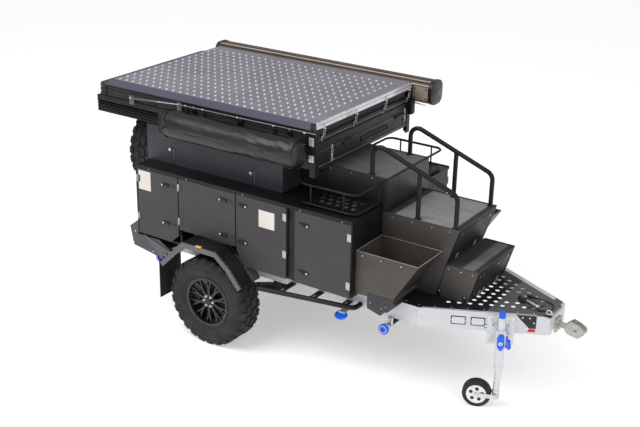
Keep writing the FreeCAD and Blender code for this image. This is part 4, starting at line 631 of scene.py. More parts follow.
# Cloth with inner pressure, run for a few frames and applied, each point held within cap
def swell(piece, pressure, cap, frames=20):
    scene = bpy.context.scene
    rest = [v.co.copy() for v in piece.data.vertices]
    cloth = piece.modifiers.new("swell", "CLOTH")
    cloth.settings.use_pressure = True
    cloth.settings.uniform_pressure_force = pressure
    cloth.settings.effector_weights.gravity = 0.0
    cloth.settings.quality = 4
    cloth.point_cache.frame_end = frames
    for step in range(1, frames + 1):
        scene.frame_set(step)
    graph = bpy.context.evaluated_depsgraph_get()
    moved = [v.co.copy() for v in piece.evaluated_get(graph).data.vertices]
    piece.modifiers.remove(cloth)
    scene.frame_set(1)
    for vert, was, now in zip(piece.data.vertices, rest, moved):
        push = now - was
        vert.co = was + (push * (cap / push.length) if push.length > cap else push)


def remeshed(piece, voxel):
    piece.data.remesh_voxel_size = voxel
    remesh = piece.modifiers.new("even", "REMESH")
    remesh.mode = "VOXEL"
    remesh.voxel_size = voxel
    graph = bpy.context.evaluated_depsgraph_get()
    mesh = bpy.data.meshes.new_from_object(piece.evaluated_get(graph))
    piece.modifiers.remove(remesh)
    old = piece.data
    piece.data = mesh
    bpy.data.meshes.remove(old)
    piece.data.shade_smooth()


# Half the bag's outline: a drum with drawn-in ends and a groove beside each crown
def bagProfile(b, length):
    profile = []
    for i in range(b["steps"] + 1):
        along = length * i / b["steps"]
        end = min(along, length - along)
        share = min(1.0, end / b["crown"])
        radius = 1.0 - 0.32 * (1.0 - share) ** 2.2
        radius -= 0.035 * math.exp(-((end - b["crown"] * 1.25) / 0.012) ** 2)
        profile.append((radius, along))
    return ([(0.0, 0.0), (profile[0][0], 0.0)] + profile[1:-1]
            + [(profile[-1][0], length), (0.0, length)])


# Slack folds run round the bag, and no point leaves the room that the solid has
def foldBag(piece, b):
    for vert in piece.data.vertices:
        out = Vector((0, vert.co.y - b["y"], vert.co.z - b["z"]))
        x = vert.co.x
        angle = math.atan2(out.z, out.y)
        slant = noise.noise(Vector((x * 5.0 + angle * 1.1, angle * 0.9 - x * 1.5, 3.1)))
        crease = -abs(noise.noise(Vector((x * 7.0 - angle * 1.6, angle * 1.3 + x * 2.0, 8.7))))
        soft = noise.noise(Vector((x * 2.3, angle * 0.6, 1.7)))
        front = min(1.0, max(0.35, (x - axleX + 0.1) / 0.6))
        push = b["fold"] * (1.1 * slant + 1.6 * crease * front + 1.2 * soft)
        vert.co += out.normalized() * push
        y, z = vert.co.y - b["y"], vert.co.z - b["z"]
        reach = math.hypot(y / (b["halfY"] + b["grow"]), z / (b["halfZ"] + b["grow"]))
        if reach > 1.0:
            vert.co.y, vert.co.z = b["y"] + y / reach, b["z"] + z / reach
        vert.co.x = min(max(vert.co.x, b["rear"] + axleX), b["front"] + axleX)


def makeBag(b):
    shape = bmesh.new()
    length = b["front"] - b["rear"]
    addTurned(shape, bagProfile(b, length), (0, 0, 0), toFront, 0, 56)
    bmesh.ops.remove_doubles(shape, verts=shape.verts, dist=0.0005)
    for vert in shape.verts:
        sag = b["sag"] * math.sin(math.pi * vert.co.x / length)
        low = min(0.0, vert.co.z)
        vert.co.y = vert.co.y * b["halfY"] * b["slim"] * (1.0 - b["lean"] * low)
        vert.co.z = vert.co.z * b["halfZ"] * b["slim"] - sag * 0.3
        vert.co += Vector((b["rear"], b["y"], b["z"]))
    piece = dress("sideBag", shape, ["bagVinyl"], replaces=["side_bag"], crease=80.0)
    remeshed(piece, b["voxel"])
    swell(piece, b["pressure"], b["cap"])
    foldBag(piece, b)
    smooth = piece.modifiers.new("soft", "SUBSURF")
    smooth.levels = smooth.render_levels = 1


makeBag(bag)

pipedHalf = (bag["halfY"] * bag["slim"], bag["halfZ"] * bag["slim"])
bagLength = bag["front"] - bag["rear"]
strapSpots = [bag["rear"] + share * bagLength for share in (0.14, 0.5, 0.86)]
bagTrim = {
    "skins": ["bagVinyl", "standSilver"], "slot": "vinyl",
    "sweeps": [([(x, bag["y"] + pipedHalf[0] * math.cos(a), bag["z"] + pipedHalf[1] * math.sin(a))
                 for a in turns(32)], 0.0045, 0, True, True)
               for x in (bag["rear"] + bag["crown"] * 0.55, bag["front"] - bag["crown"] * 0.55)]
              + [([(bag["rear"] + 0.06 + (bagLength - 0.12) * i / 12, bag["y"] - 0.052,
                    bag["z"] - 0.1135 + 0.002 * math.sin(i * 1.3)) for i in range(13)], 0.004, 0,
                  False, True)],
    "boxes": [((x - 0.019, -0.745, bag["z"] + 0.085), (x + 0.019, -0.7372, bag["z"] + 0.15), 0.002,
               0) for x in strapSpots],
    "bolts": [([(x, -0.745, bag["z"] + 0.138) for x in strapSpots], toNear, 0.006, 1)]}
makeTrim("bagTrim", bagTrim)
print("bag made")


canvas = {"rear": -1.336, "front": 0.952, "half": 0.722, "low": 1.86, "top": 2.0825,
          "seen": 1.972, "bulge": 0.01, "layers": 3, "corner": 0.045, "cuts": (150, 96, 20)}


# Folded cloth that shows as rolled layers between the base and the lid
def makeCanvas(c):
    shape = bmesh.new()
    bmesh.ops.create_cube(shape, size=1.0)
    size = (c["front"] - c["rear"], 2 * c["half"], c["top"] - c["low"])
    bmesh.ops.scale(shape, verts=shape.verts, vec=size)
    middle = Vector(((c["rear"] + c["front"]) / 2, 0, (c["low"] + c["top"]) / 2))
    bmesh.ops.translate(shape, verts=shape.verts, vec=middle)
    upright = [e for e in shape.edges if abs(e.verts[0].co.z - e.verts[1].co.z) > 0.1]
    bmesh.ops.bevel(shape, geom=upright, offset=c["corner"], segments=6, profile=0.5,
                    affect="EDGES", material=-1)
    spans = ((toFront, c["rear"], c["front"]), (toFar, -c["half"], c["half"]),
             (toTop, c["seen"], c["top"]))
    for (normal, low, high), count in zip(spans, c["cuts"]):
        for i in range(0 if normal == toTop else 1, count):
            spot = Vector(normal) * (low + (high - low) * i / count)
            bmesh.ops.bisect_plane(shape, geom=shape.verts[:] + shape.edges[:] + shape.faces[:],
                                   plane_co=spot, plane_no=normal, dist=1e-5)
    bmesh.ops.recalc_face_normals(shape, faces=shape.faces)
    shape.normal_update()
    pushes = []
    for vert in shape.verts:
        x, y, z = vert.co
        out = Vector((vert.normal.x, vert.normal.y, 0))
        share = (z - c["seen"]) / (c["top"] - c["seen"])
        if out.length < 0.3 or share < -0.01:
            pushes.append(Vector())
            continue
        wander = 0.16 * noise.noise(Vector((x * 3.0, y * 3.0, 0.0)))
        layer = abs(math.sin(math.pi * c["layers"] * (share + wander)))
        fold = (noise.noise(Vector(((x + y) * 6.0, z * 30.0, 2.0)))
                + noise.noise(Vector((x * 22, y * 22, z * 9))) * 0.5)
        edge = min(1.0, 6.0 * min(share + 0.02, 1.02 - share))
        pushes.append(out.normalized() * (c["bulge"] * (layer - 0.45 + 0.35 * fold) * edge))
    for vert, push in zip(shape.verts, pushes):
        vert.co += push
    piece = dress("foldedCanvas", shape, ["tentCanvas"], replaces=["tent_canvas"],
                  crease=80.0)


makeCanvas(canvas)
print("canvas made")


# Doors

doorFits = [
    {"door": 1, "zs": (0.968, 1.322), "hinge": -0.85, "latch": -0.528, "side": 1,
     "square": (-0.838, -0.7, 1.222, 1.398)},
    {"door": 2, "zs": (1.02, 1.333), "hinge": -0.385, "latch": 0.103, "side": 1},
    {"door": 3, "zs": (1.003, 1.329), "hinge": 0.7425, "latch": 0.305, "side": -1,
     "square": (0.47, 0.628, 1.185, 1.335)},
    {"door": 4, "zs": (0.891, 1.306), "hinge": 1.36, "latch": 0.921, "side": -1}]
doorLook = {"faceY": 0.8, "pinY": 0.806, "barrel": 0.0073, "leaf": 0.0045, "leafWide": 0.03,
            "leafThin": 0.01, "leafTall": 0.064, "latchWide": 0.098, "latchTall": 0.036,
            "plate": 0.0055}


def addStadium(shape, middle, wide, tall, y, deep, skin, bevel):
    bends = [(tall / 2 * math.cos(math.pi * i / 8), tall / 2 * math.sin(math.pi * i / 8))
             for i in range(-4, 5)]
    straight = (wide - tall) / 2
    outline = ([(middle[0] + straight + c, middle[1] + s) for c, s in bends]
               + [(middle[0] - straight - c, middle[1] - s) for c, s in bends])
    addPlate(shape, outline, "y", y, y - deep, bevel, skin)


def makeDoorFittings(fit, look):
    y = -look["faceY"]
    shape = bmesh.new()
    inward = fit["side"]
    for z in fit["zs"]:
        half = look["leafTall"] / 2
        addRod(shape, (fit["hinge"], -look["pinY"], z - half),
               (fit["hinge"], -look["pinY"], z + half), look["barrel"], 20, 0.0012)
        for share in (-0.34, 0.0, 0.34):
            knuckle = z + share * look["leafTall"]
            addRod(shape, (fit["hinge"], -look["pinY"], knuckle - 0.0009),
                   (fit["hinge"], -look["pinY"], knuckle + 0.0009), look["barrel"] * 1.09, 20)
        wide = look["leafWide"] if inward < 0 else look["leafThin"]
        near, far = sorted((fit["hinge"] + inward * 0.003, fit["hinge"] + inward * wide))
        addBox(shape, (near, y - look["leaf"], z - half), (far, y, z + half), 0.0012)
        for share in (-0.3, 0.3) if inward < 0 else ():
            spot = (fit["hinge"] + inward * 0.019, y - look["leaf"], z + share * look["leafTall"])
            addBolt(shape, spot, toNear, 0.0042)
        middle = (fit["latch"], z)
        addStadium(shape, middle, look["latchWide"], look["latchTall"], y, look["plate"], 1, 0.0015)
        addStadium(shape, middle, look["latchWide"] * 0.87, look["latchTall"] * 0.66,
                   y - look["plate"], 0.0022, 3, 0.0008)
        button = fit["latch"] - inward * 0.034
        addTurned(shape, [(0.0, 0.0), (0.0095, 0.0), (0.0095, 0.0055), (0.0084, 0.007),
                          (0.004, 0.0078), (0.0, 0.0078)],
                  (button, y - look["plate"] - 0.001, z), toNear, 0, 28)
        addRod(shape, (button, y - look["plate"] - 0.0072, z - 0.002),
               (button, y - look["plate"] - 0.0084, z - 0.002), 0.0026, 12, skin=1)
        paddle = fit["latch"] + inward * 0.014
        addBox(shape, (paddle - 0.0175, y - 0.0125, z - 0.0115),
               (paddle + 0.0175, y - look["plate"], z + 0.0115), 0.0032, 1)
    if "square" in fit:
        west, east, low, high = fit["square"]
        addBox(shape, (west, y - 0.0012, low), (east, y, high), 0, 2)
    return shape


for fit in doorFits:
    for side in ("right", "left"):
        shape = makeDoorFittings(fit, doorLook)
        if side == "left":
            bmesh.ops.scale(shape, verts=shape.verts, vec=(1, -1, 1))
        label = "%s_%d" % (side, fit["door"])
        dress("doorFittings_" + label, shape,
              ["hingeSilver", "latchBlack", "platePale", "satinBlack"],
              body="door_" + label)
print("door fittings made")


# Body sides: drip moulding above the doors, then the dots and slots of the pod

sideTrim = {
    "skins": ["satinBlack", "brightAlloy"], "slot": "panel_black", "mirror": True,
    "boxes": [((-0.853, -0.7995, 1.4175), (1.373, -0.769, 1.4275), 0.002, 0)],
    "bolts": [([(x, -0.7995, 1.4225) for x in (-0.72, -0.3, 0.3, 0.88, 1.28)], toNear, 0.0036, 1)]}
makeTrim("sideTrim", sideTrim)

podSlots = [[(-0.618, 1.586), (-0.606, 1.578), (-0.606, 1.484)],
            [(0.258, 1.582), (0.269, 1.574), (0.269, 1.451)]]
podDots = [(-0.686, 1.735), (-0.643, 1.565), (0.238, 1.54)]
podMarks = {
    "skins": ["brightAlloy", "latchBlack", "standSilver"], "slot": "panel_black", "mirror": True,
    "turned": [([(0.0, 0.0), (0.0145, 0.0), (0.0145, 0.0035), (0.012, 0.0058), (0.0052, 0.0066),
                 (0.0, 0.0066)], (x, -0.6, z), toNear, 0, 24) for x, z in podDots],
    "rods": [((x, -0.6062, z), (x, -0.6074, z), 0.0036, 12, 0.0, 1) for x, z in podDots],
    "sweeps": [([(x, -0.601, z) for x, z in slot], 0.0052, 1, False, False) for slot in podSlots]
              + [([(x + 0.0062, -0.6006, z) for x, z in slot], 0.0012, 2, False, False)
                 for slot in podSlots],
    "bolts": [([(x, -0.6, 1.763) for x in (-0.7, -0.25, 0.62, 0.92)], toNear, 0.004, 1)]}
makeTrim("podMarks", podMarks)
print("body sides trimmed")


# Steps: a gritty mat with a dark border on each tread, the middle mat painted lighter as light on
# that step, bright hinges and latches on each riser

stepMats = [
    {"skin": 0, "rear": 0.585, "front": 1.398, "z": 1.6605},
    # The middle mat takes the lighter copy of the mat finish, painted light on that step
    {"skin": 2, "rear": 1.458, "front": 2.022, "z": 1.3785},
    {"skin": 0, "rear": 2.085, "front": 2.214, "z": 1.0665}]
matLook = {"half": 0.333, "border": 0.017, "mat": 0.0026, "edge": 0.0042, "sunk": 0.0006}


def makeStepMats(mats, look):
    shape = bmesh.new()
    half, border = look["half"], look["border"]
    for m in mats:
        rear, front, base = m["rear"], m["front"], m["z"] - look["sunk"]
        addBox(shape, (rear, -half, base), (front, half, m["z"] + look["mat"]), 0.001, m["skin"])
        for west, east, south, north in ((rear, rear + border, -half, half),
                                         (front - border, front, -half, half),
                                         (rear, front, -half, -half + border),
                                         (rear, front, half - border, half)):
            addBox(shape, (west, south, base), (east, north, m["z"] + look["edge"]), 0.0014, 1)
    dress("stepMats", shape, ["gritMat", "matEdge", "gritMatPaintedLight"])


makeStepMats(stepMats, matLook)

risers = [
    {"name": "middle", "foot": (1.96, 1.066), "head": (2.06, 1.378), "clips": (-0.163, 0.155),
     "latches": (-0.245, 0.245)},
    {"name": "lower", "foot": (2.168, 0.784), "head": (2.25, 1.066),
     "clips": (-0.142, -0.067, 0.18), "latches": (-0.262, -0.205, 0.055, 0.235)}]


# Rows of one riser, in its own plane: clips over the hinge pin, flat latches, a pressed border
def riserRows(clips, latches, length):
    latchProfile = [(0.0, 0.0), (0.016, 0.0), (0.016, 0.0012), (0.012, 0.0022), (0.0, 0.0024)]
    half, low, high = 0.3, 0.03, length - 0.034
    return {
        "boxes": [((y - 0.017, 0.004, 0.0), (y + 0.017, 0.052, 0.0022), 0.0008, 0) for y in clips]
                 + [((y - 0.012, length - 0.0585, 0.002), (y + 0.012, length - 0.0515, 0.0034),
                     0.0006, 0) for y in latches],
        "rods": [((y - 0.017, 0.012, -0.003), (y + 0.017, 0.012, -0.003), 0.0072, 20, 0.0008, 0)
                 for y in clips],
        "bolts": [([(y + off, 0.04, 0.0022) for y in clips for off in (-0.009, 0.009)], toTop,
                   0.0034, 0)],
        "turned": [(latchProfile, (y, length - 0.055, 0.0), toTop, 1, 24) for y in latches],
        "sweeps": [([(x, y, 0.0004) for x, y in ((-half, low), (half, low), (half, high),
                                                 (-half, high))], 0.0022, 2, True, False)]}


for riser in risers:
    rise = Vector((riser["head"][0] - riser["foot"][0], 0, riser["head"][1] - riser["foot"][1]))
    riserFrame = frameAt((riser["foot"][0], 0, riser["foot"][1]), toFar, rise)
    makeTrim(riser["name"] + "RiserFittings", {
        "skins": ["hingeSilver", "latchBlack", "flapGloss"], "slot": "silver_rail",
        "body": riser["name"] + "_flap",
        "parts": [(riserFrame, riserRows(riser["clips"], riser["latches"], rise.length))]})

stepTrim = {
    "skins": ["brightAlloy", "latchBlack"], "slot": "step_tread", "mirror": True,
    "boxes": [((x, -0.3375, 0.788), (x + 0.03, -0.335, 0.85), 0.001, 1) for x in (1.905, 2.13)],
    "bolts": [([(x, -0.335, 1.645) for x in (0.66, 0.86, 1.06, 1.26)], toNear, 0.0036, 0),
              ([(x, -0.335, 1.355) for x in (1.46, 1.64, 1.82, 1.98)], toNear, 0.0036, 0),
              ([(x, -0.335, 1.042) for x in (1.99, 2.1, 2.2)], toNear, 0.0036, 0),
              ([(x, -0.3375, 0.834) for x in (1.92, 2.145)], toNear, 0.0045, 0)]}
makeTrim("stepTrim", stepTrim)
print("steps dressed")


# Feet of the handrails, tread on the ledges with pale plates under the baskets painted as the
# reflection in their holes, edges and skirts of the bins

footSpots = [(1.24, 1.66), (1.675, 1.378), (2.015, 1.378)]
railFeet = {
    "skins": ["satinBlack", "brightAlloy"], "slot": "chassis_paint", "mirror": True,
    "turned": [([(0.0, 0.0), (0.03, 0.0), (0.03, 0.0042), (0.0283, 0.0054), (0.0212, 0.0054),
                 (0.0205, 0.01), (0.0191, 0.0112), (0.0191, 0.0)], (x, -0.305, z + 0.0015), toTop,
                0, 32) for x, z in footSpots],
    "bolts": [([(x + 0.0256 * math.cos(a), -0.305 + 0.0256 * math.sin(a), z + 0.0062)
                for x, z in footSpots for a in (0.6, 2.7, 4.8)], toTop, 0.0028, 1)]}
makeTrim("railFeet", railFeet)

ledgeTread = {
    "skins": ["ledgeTread", "wheelWhite"], "slot": "panel_black",
    "boxes": [((*low, 1.4364), (*high, 1.4384), 0, 0) for low, high in (
                  ((-0.866, -0.788), (0.565, -0.603)), ((0.565, -0.788), (1.366, -0.338)),
                  ((-0.866, 0.603), (0.565, 0.788)), ((0.565, 0.338), (1.366, 0.788)))]
             # Pale plates under the baskets' floors show through their holes: a painted reflection
             # of the bright light seen there
             + [((0.85, sign * 0.395, 1.4384), (1.3, sign * 0.67, 1.44), 0.0004, 1)
                for sign in (1, -1)]}
makeTrim("ledgeTread", ledgeTread)

binRim = [(1.3745, -0.346), (1.929, -0.346), (1.929, -0.727), (1.3745, -0.727)]
binSlope = Vector((0.209, 0, 0.33))                     # the bin's sloping front, from its foot
binTrim = {
    "skins": ["binEdge", "skirtPlate", "flapRubber", "brightAlloy"], "slot": "bin_grey",
    "mirror": True,
    "sweeps": [([(x, y, 1.181) for x, y in binRim], 0.0042, 0, True, False)],
    "boxes": [((1.488, -0.7318, 0.7245), (1.672, -0.73, 0.8105), 0.0004, 1),
              ((1.379, -0.722, 0.8185), (1.715, -0.351, 0.8225), 0.001, 2)],
    "plates": [([(1.672, 0.7245), (1.7615, 0.8105), (1.672, 0.8105)], "y", -0.73, -0.7318, 0, 1),
               ([(1.49, 0.846), (1.49, 0.712), (1.613, 0.679), (1.7215, 0.846)], "y", -0.7305,
                -0.733, 0.0006, 1)],
    "bolts": [([(x, -0.73, 1.15) for x in (1.43, 1.6, 1.78)], toNear, 0.0042, 3),
              ([(x, -0.7318, 0.768) for x in (1.52, 1.66)], toNear, 0.0048, 3)],
    "parts": [(frameAt((1.723, 0, 0.85), toNear, -binSlope),
               {"boxes": [((0.61, 0.0, -0.0002), (0.733, 0.202, 0.0018), 0, 1)]}),
              (frameAt((1.723, 0, 0.85), toNear, binSlope),
               {"boxes": [((0.3445, 0.004, -0.0016), (0.7295, binSlope.length - 0.006, 0.0002),
                           0, 1)]})]}
makeTrim("binTrim", binTrim)
print("ledges and bins dressed")


# Mudguards: dark liner on top, its bolts, a bright edge, and the marker plate's base

guardLine = [(-0.476, 0.67), (-0.224, 0.92), (0.141, 0.92), (0.28, 0.81), (0.406, 0.66)]


def makeGuardTrim(line, lift=0.0016):
    shape = bmesh.new()
    lifted = []
    for i, (x, z) in enumerate(line):
        (ax, az), (bx, bz) = line[max(0, i - 1)], line[min(len(line) - 1, i + 1)]
        size = math.hypot(bx - ax, bz - az)
        lifted.append((x - (bz - az) / size * lift, z + (bx - ax) / size * lift))
    addPlate(shape, line + lifted[::-1], "y", -0.8008, -0.954, 0, 0)
    for (ax, az), (bx, bz) in zip(line, line[1:]):
        up = Vector((-(bz - az), 0, bx - ax)).normalized()
        for share in (0.3, 0.7):
            spot = Vector((ax + share * (bx - ax), -0.815, az + share * (bz - az)))
            addBolt(shape, spot + up * 0.0012, up, 0.0052, 1)
    addSweep(shape, [(x, -0.9702, z + 0.0006) for x, z in line], 0.0016, 2, smooth=False)
    addBox(shape, (-0.078, -0.9685, 0.9262), (-0.005, -0.943, 0.929), 0.0012, 0)
    addMirror(shape)
    dress("guardTrim", shape, ["linerBlack", "latchBlack", "guardPlate"])


makeGuardTrim(guardLine)

# The yellow lens on the marker's top is a painted highlight on the orange marker
markerLens = {
    "skins": ["markerPaintedHighlight"], "slot": "marker_orange", "mirror": True,
    "boxes": [((-0.0705, -0.9685, 0.9275), (-0.0125, -0.947, 0.9302), 0.0012, 0)]}
makeTrim("markerLens", markerLens)

flapClamp = {
    "skins": ["chassisBlack", "brightAlloy"], "slot": "flap_rubber", "mirror": True,
    "boxes": [((-0.4885, -0.955, 0.648), (-0.4845, -0.705, 0.676), 0.001, 0)],
    "bolts": [([(-0.4885, y, 0.662) for y in (-0.735, -0.83, -0.925)], toRear, 0.006, 1)]}
makeTrim("flapClamp", flapClamp)


# Rear bumper: gusset faces in a lighter grey that paints the light on their slant, recovery points,
# lamp bezels with their lenses, and shackles

bumperTrim = {
    "skins": ["gussetPaintedLight", "brightAlloy"], "slot": "chassis_paint", "mirror": True,
    # The gusset is a flat plate; its lighter grey is painted light standing in for the light its
    # slanted face catches
    "plates": [([(-0.801, 0.7925), (-0.6045, 0.6185), (-0.504, 0.7035)], "y", -0.805, -0.8066,
                0, 0)],
    "turned": [([(0.0, 0.0), (0.009, 0.0), (0.009, 0.004), (0.007, 0.006), (0.0, 0.0062)],
                (-0.93, -0.8, 0.688), toNear, 1, 20)],
    "bolts": [([(-0.905, -0.8, 0.8), (-0.7, -0.8, 0.652)], toNear, 0.0055, 1)]}
makeTrim("bumperTrim", bumperTrim)

lampSlope = (0.967 - 0.93) / (0.838 - 0.663)            # the bumper's face leans by this share
lampFrames = [frameAt((-0.967 + lampSlope * (0.838 - 0.76) - 0.0003, sign * 0.56, 0.76), toNear,
                      (-lampSlope, 0, 1)) for sign in (1, -1)]
lampBezels = {
    "skins": ["latchBlack"], "slot": "panel_black",
    "parts": [(lampFrame, {"boxes": [((*low, 0.0), (*high, 0.026), 0.0016, 0) for low, high in (
        ((-0.106, -0.041), (0.106, -0.035)), ((-0.106, 0.035), (0.106, 0.041)),
        ((-0.106, -0.041), (-0.1, 0.041)), ((0.1, -0.041), (0.106, 0.041)))]})
              for lampFrame in lampFrames]}
makeTrim("lampBezels", lampBezels)

lampLenses = {
    "skins": ["markerOrange", "lampRed", "lampClear"], "slot": "lamp_red",
    "parts": [(lampFrame, {"boxes": [((west, -0.032, 0.022), (east, 0.032, 0.0262), 0.002, skin)
                                     for west, east, skin in ((-0.097, -0.036, 0),
                                                              (-0.033, 0.033, 1),
                                                              (0.036, 0.097, 2))]})
              for lampFrame in lampFrames]}
makeTrim("lampLenses", lampLenses)

bowLine = [(0.0, -0.0175, 0.0), (-0.01, -0.0178, -0.03), (-0.028, -0.0135, -0.06),
           (-0.034, 0.0, -0.0675), (-0.028, 0.0135, -0.06), (-0.01, 0.0178, -0.03),
           (0.0, 0.0175, 0.0)]
shackleDress = {
    "skins": ["bowDark", "shackleRed"], "slot": "shackle_red",
    "parts": [(Matrix.Translation((-0.976, sign * 0.7, 0.7)), {
        "sweeps": [(bowLine, 0.0082, 0, False, True)],
        "rods": [((0, end * 0.02, 0), (0, end * 0.0265, 0), 0.0125, 24, 0.0015, 1)
                 for end in (1, -1)] + [((0, -0.0175, 0), (0, 0.0175, 0), 0.0098, 20, 0, 1)]})
              for sign in (1, -1)]}
makeTrim("shackleDress", shackleDress)
print("rear dressed")


# Wheels: painted highlights along the edges of the split spokes, nuts, cap, and rings on the tyre
# wall

wheelPlaces = {
    "left": (Matrix.Translation((0, 0.805, 0.4)), "wheel_left"),
    "right": (Matrix.Translation((0, -0.805, 0.4)) @ Matrix.Scale(-1, 4, (0, 1, 0)), "wheel_right"),
    "spare": (Matrix.Translation((-1.08486, -0.12, 1.405)) @ Matrix.Rotation(math.pi / 2, 4, "Z"),
              "trailer")}
wheelLook = {
    "face": 0.08814, "edge": 0.0011, "spokes": 10, "nuts": 6, "nutCircle": 0.046, "marks": 52,
    "faceRings": [(0.2045, 0.1128, 0.0016), (0.2245, 0.1128, 0.0014), (0.0615, 0.08814, 0.0012)],
    "wallRings": [(0.236, 0.1109, 0.0022), (0.25, 0.1192, 0.0016), (0.29, 0.1331, 0.0013),
                  (0.335, 0.1344, 0.0018)]}


def addRing(shape, radius, along, thick, steps, place):
    ring = [(radius * math.cos(a), along, radius * math.sin(a)) for a in turns(steps)]
    addSweep(shape, ring, thick, 0, closed=True, place=place)


def makeWheelTrim(look, place):
    shape = bmesh.new()
    face = look["face"]
    lines = [[(side * 0.0098, 0.064), (side * 0.0098, 0.112), (side * 0.033, 0.204)]
             for side in (1, -1)] + [[(0.0205, 0.203), (0.0, 0.1365), (-0.0205, 0.203)]]
    # Grey lines along the spoke edges of the black rim are painted highlights
    for angle in turns(look["spokes"]):
        turn = place @ Matrix.Rotation(angle, 4, "Y")
        for line in lines:
            addSweep(shape, [(a, face + 0.0002, b) for a, b in line], look["edge"], 0,
                     smooth=False, place=turn)
    for radius, along, thick in look["faceRings"]:
        addRing(shape, radius, along, thick, 64, place)
    cap = [(0.0, 0.0), (0.0335, 0.0), (0.0335, 0.008), (0.0315, 0.012), (0.024, 0.0138),
           (0.0225, 0.0126), (0.0, 0.0132)]
    addTurned(shape, cap, (0, face, 0), toFar, 1, 40, place)
    for a in turns(look["nuts"]):
        spot = Vector((look["nutCircle"] * math.cos(a), face, look["nutCircle"] * math.sin(a)))
        addRod(shape, spot, spot + Vector((0, 0.0118, 0)), 0.0092, 6, 0.0012, 2, place)
        addRod(shape, spot, spot + Vector((0, 0.003, 0)), 0.0108, 20, 0.0006, 2, place)
    addRod(shape, (0.188, 0.06, 0.02), (0.186, 0.098, 0.02), 0.0042, 12, 0.0006, 1, place)
    return shape


def makeWallRings(look, place):
    shape = bmesh.new()
    for side in (1, -1):
        for radius, along, thick in look["wallRings"]:
            addRing(shape, radius, side * along, thick, 72, place)
        for angle in turns(look["marks"]):
            addBox(shape, (-0.0045, side * 0.1262 - 0.0035, 0.262),
                   (0.0045, side * 0.1262 + 0.0035, 0.281), 0.0012, 0,
                   place @ Matrix.Rotation(angle, 4, "Y"))
    return shape


for name, (place, body) in wheelPlaces.items():
    dress("wheelTrim_" + name, makeWheelTrim(wheelLook, place),
          ["spokePaintedHighlight", "latchBlack", "brightAlloy"], body=body)
    dress("wallRings_" + name, makeWallRings(wheelLook, place), ["tyreWall"],
          body=body)
print("wheels dressed")


# Tent front: board, straps, chains and toggles, with the hooks that they hold on the lid

tentFront = {
    "x": 0.972, "half": 0.731, "toggles": (-0.645, -0.175, 0.295, 0.69),
    "chains": ((-0.5, 1.778, 1.918), (0.655, 1.812, 1.938)), "links": 4,
    "bars": ((-0.015, 1.974, 0.003, 2.03, 0.002, 0), (0.001, 2.0, 0.006, 2.0026, 0.0006, 4),
             (0.0005, 1.899, 0.0065, 1.904, 0.0012, 2), (0.0005, 1.776, 0.0055, 1.785, 0.0012, 2)),
    "pins": ((0.0225, 2.074, 0.0125, 0.0023), (0.011, 2.006, 0.0155, 0.0032)),
    "bolts": (-0.6, -0.32, 0.02, 0.34, 0.62)}


def addChain(shape, x, y, low, high, links):
    step = (high - low) / links
    for i in range(links):
        z = low + step * (i + 0.5)
        if i % 2:
            addBox(shape, (x, y - 0.011, z - step * 0.42), (x + 0.0062, y + 0.011, z + step * 0.42),
                   0.0015, 1)
            addBolt(shape, (x + 0.0062, y, z), toFront, 0.0042, 1)
        else:
            link = [(x + 0.0055, y + 0.0125 * math.cos(a), z + 0.0165 * math.sin(a))
                    for a in turns(16)]
            addSweep(shape, link, 0.0032, 1, closed=True)


def makeTentFront(t):
    x = t["x"]
    shape = bmesh.new()
    for back, low, front, high, bevel, skin in t["bars"]:
        addBox(shape, (x + back, -t["half"], low), (x + front, t["half"], high), bevel, skin)
    for y, low, high in t["chains"]:
        addChain(shape, x, y, low, high, t["links"])
    for y in t["toggles"]:
        addBox(shape, (x + 0.003, y - 0.016, 1.986), (x + 0.0062, y + 0.016, 2.026), 0.001, 1)
        addPlate(shape, [(x + 0.006, 1.99), (x + 0.019, 1.994), (x + 0.0165, 2.018),
                         (x + 0.006, 2.024)], "y", y - 0.0085, y + 0.0085, 0.0015, 3)
        for side in (y - 0.0115, y + 0.0115):
            addSweep(shape, [(x + 0.01, side, 2.006), (x + 0.0185, side, 2.03),
                             (x + 0.0225, side, 2.074)], 0.0022, 1)
        for out, z, half, thick in t["pins"]:
            addRod(shape, (x + out, y - half, z), (x + out, y + half, z), thick, 12, skin=1)
    for y in t["bolts"]:
        addBolt(shape, (x + 0.0006, y, 1.842), toFront, 0.0036, 3)
    dress("tentFront", shape, ["tentBoard", "hingeSilver", "foldLight", "latchBlack", "lineBlue"])


makeTentFront(tentFront)

hookLine = [(0.9925, 2.094), (0.9985, 2.094), (1.001, 2.086), (1.0045, 2.0885), (1.0015, 2.1005),
            (0.9925, 2.1005)]
lidHooks = {
    "skins": ["brightAlloy", "latchBlack"], "slot": "silver_rail", "body": "tent_lid",
    "boxes": [((0.9893, y - 0.014, 2.092), (0.9925, y + 0.014, 2.124), 0.001, 0)
              for y in tentFront["toggles"]],
    "plates": [(hookLine, "y", y - 0.0085, y + 0.0085, 0.0006, 0) for y in tentFront["toggles"]],
    "bolts": [([(0.9925, y, z) for y in tentFront["toggles"] for z in (2.109, 2.118)], toFront,
               0.0028, 1)]}
makeTrim("lidHooks", lidHooks)


# Lid: raised bars of the tread plate, alternate ones turned a quarter, the first set painted bright
# as a highlight, then seal, edge and covers

lidLook = {"rear": -1.143, "front": 0.972, "half": 0.731, "top": 2.149, "pitchX": 0.0752,
           "pitchY": 0.093, "firstX": 0.045, "firstY": 0.034, "free": 0.07, "lastY": 0.03}
# The first set's bright finish is a painted highlight; the second set keeps the plate's own tone
lidBars = [{"size": (0.028, 0.0104, 0.0026), "turn": 122, "shift": 0.0},
           {"size": (0.019, 0.006, 0.0014), "turn": 32, "shift": 0.5}]


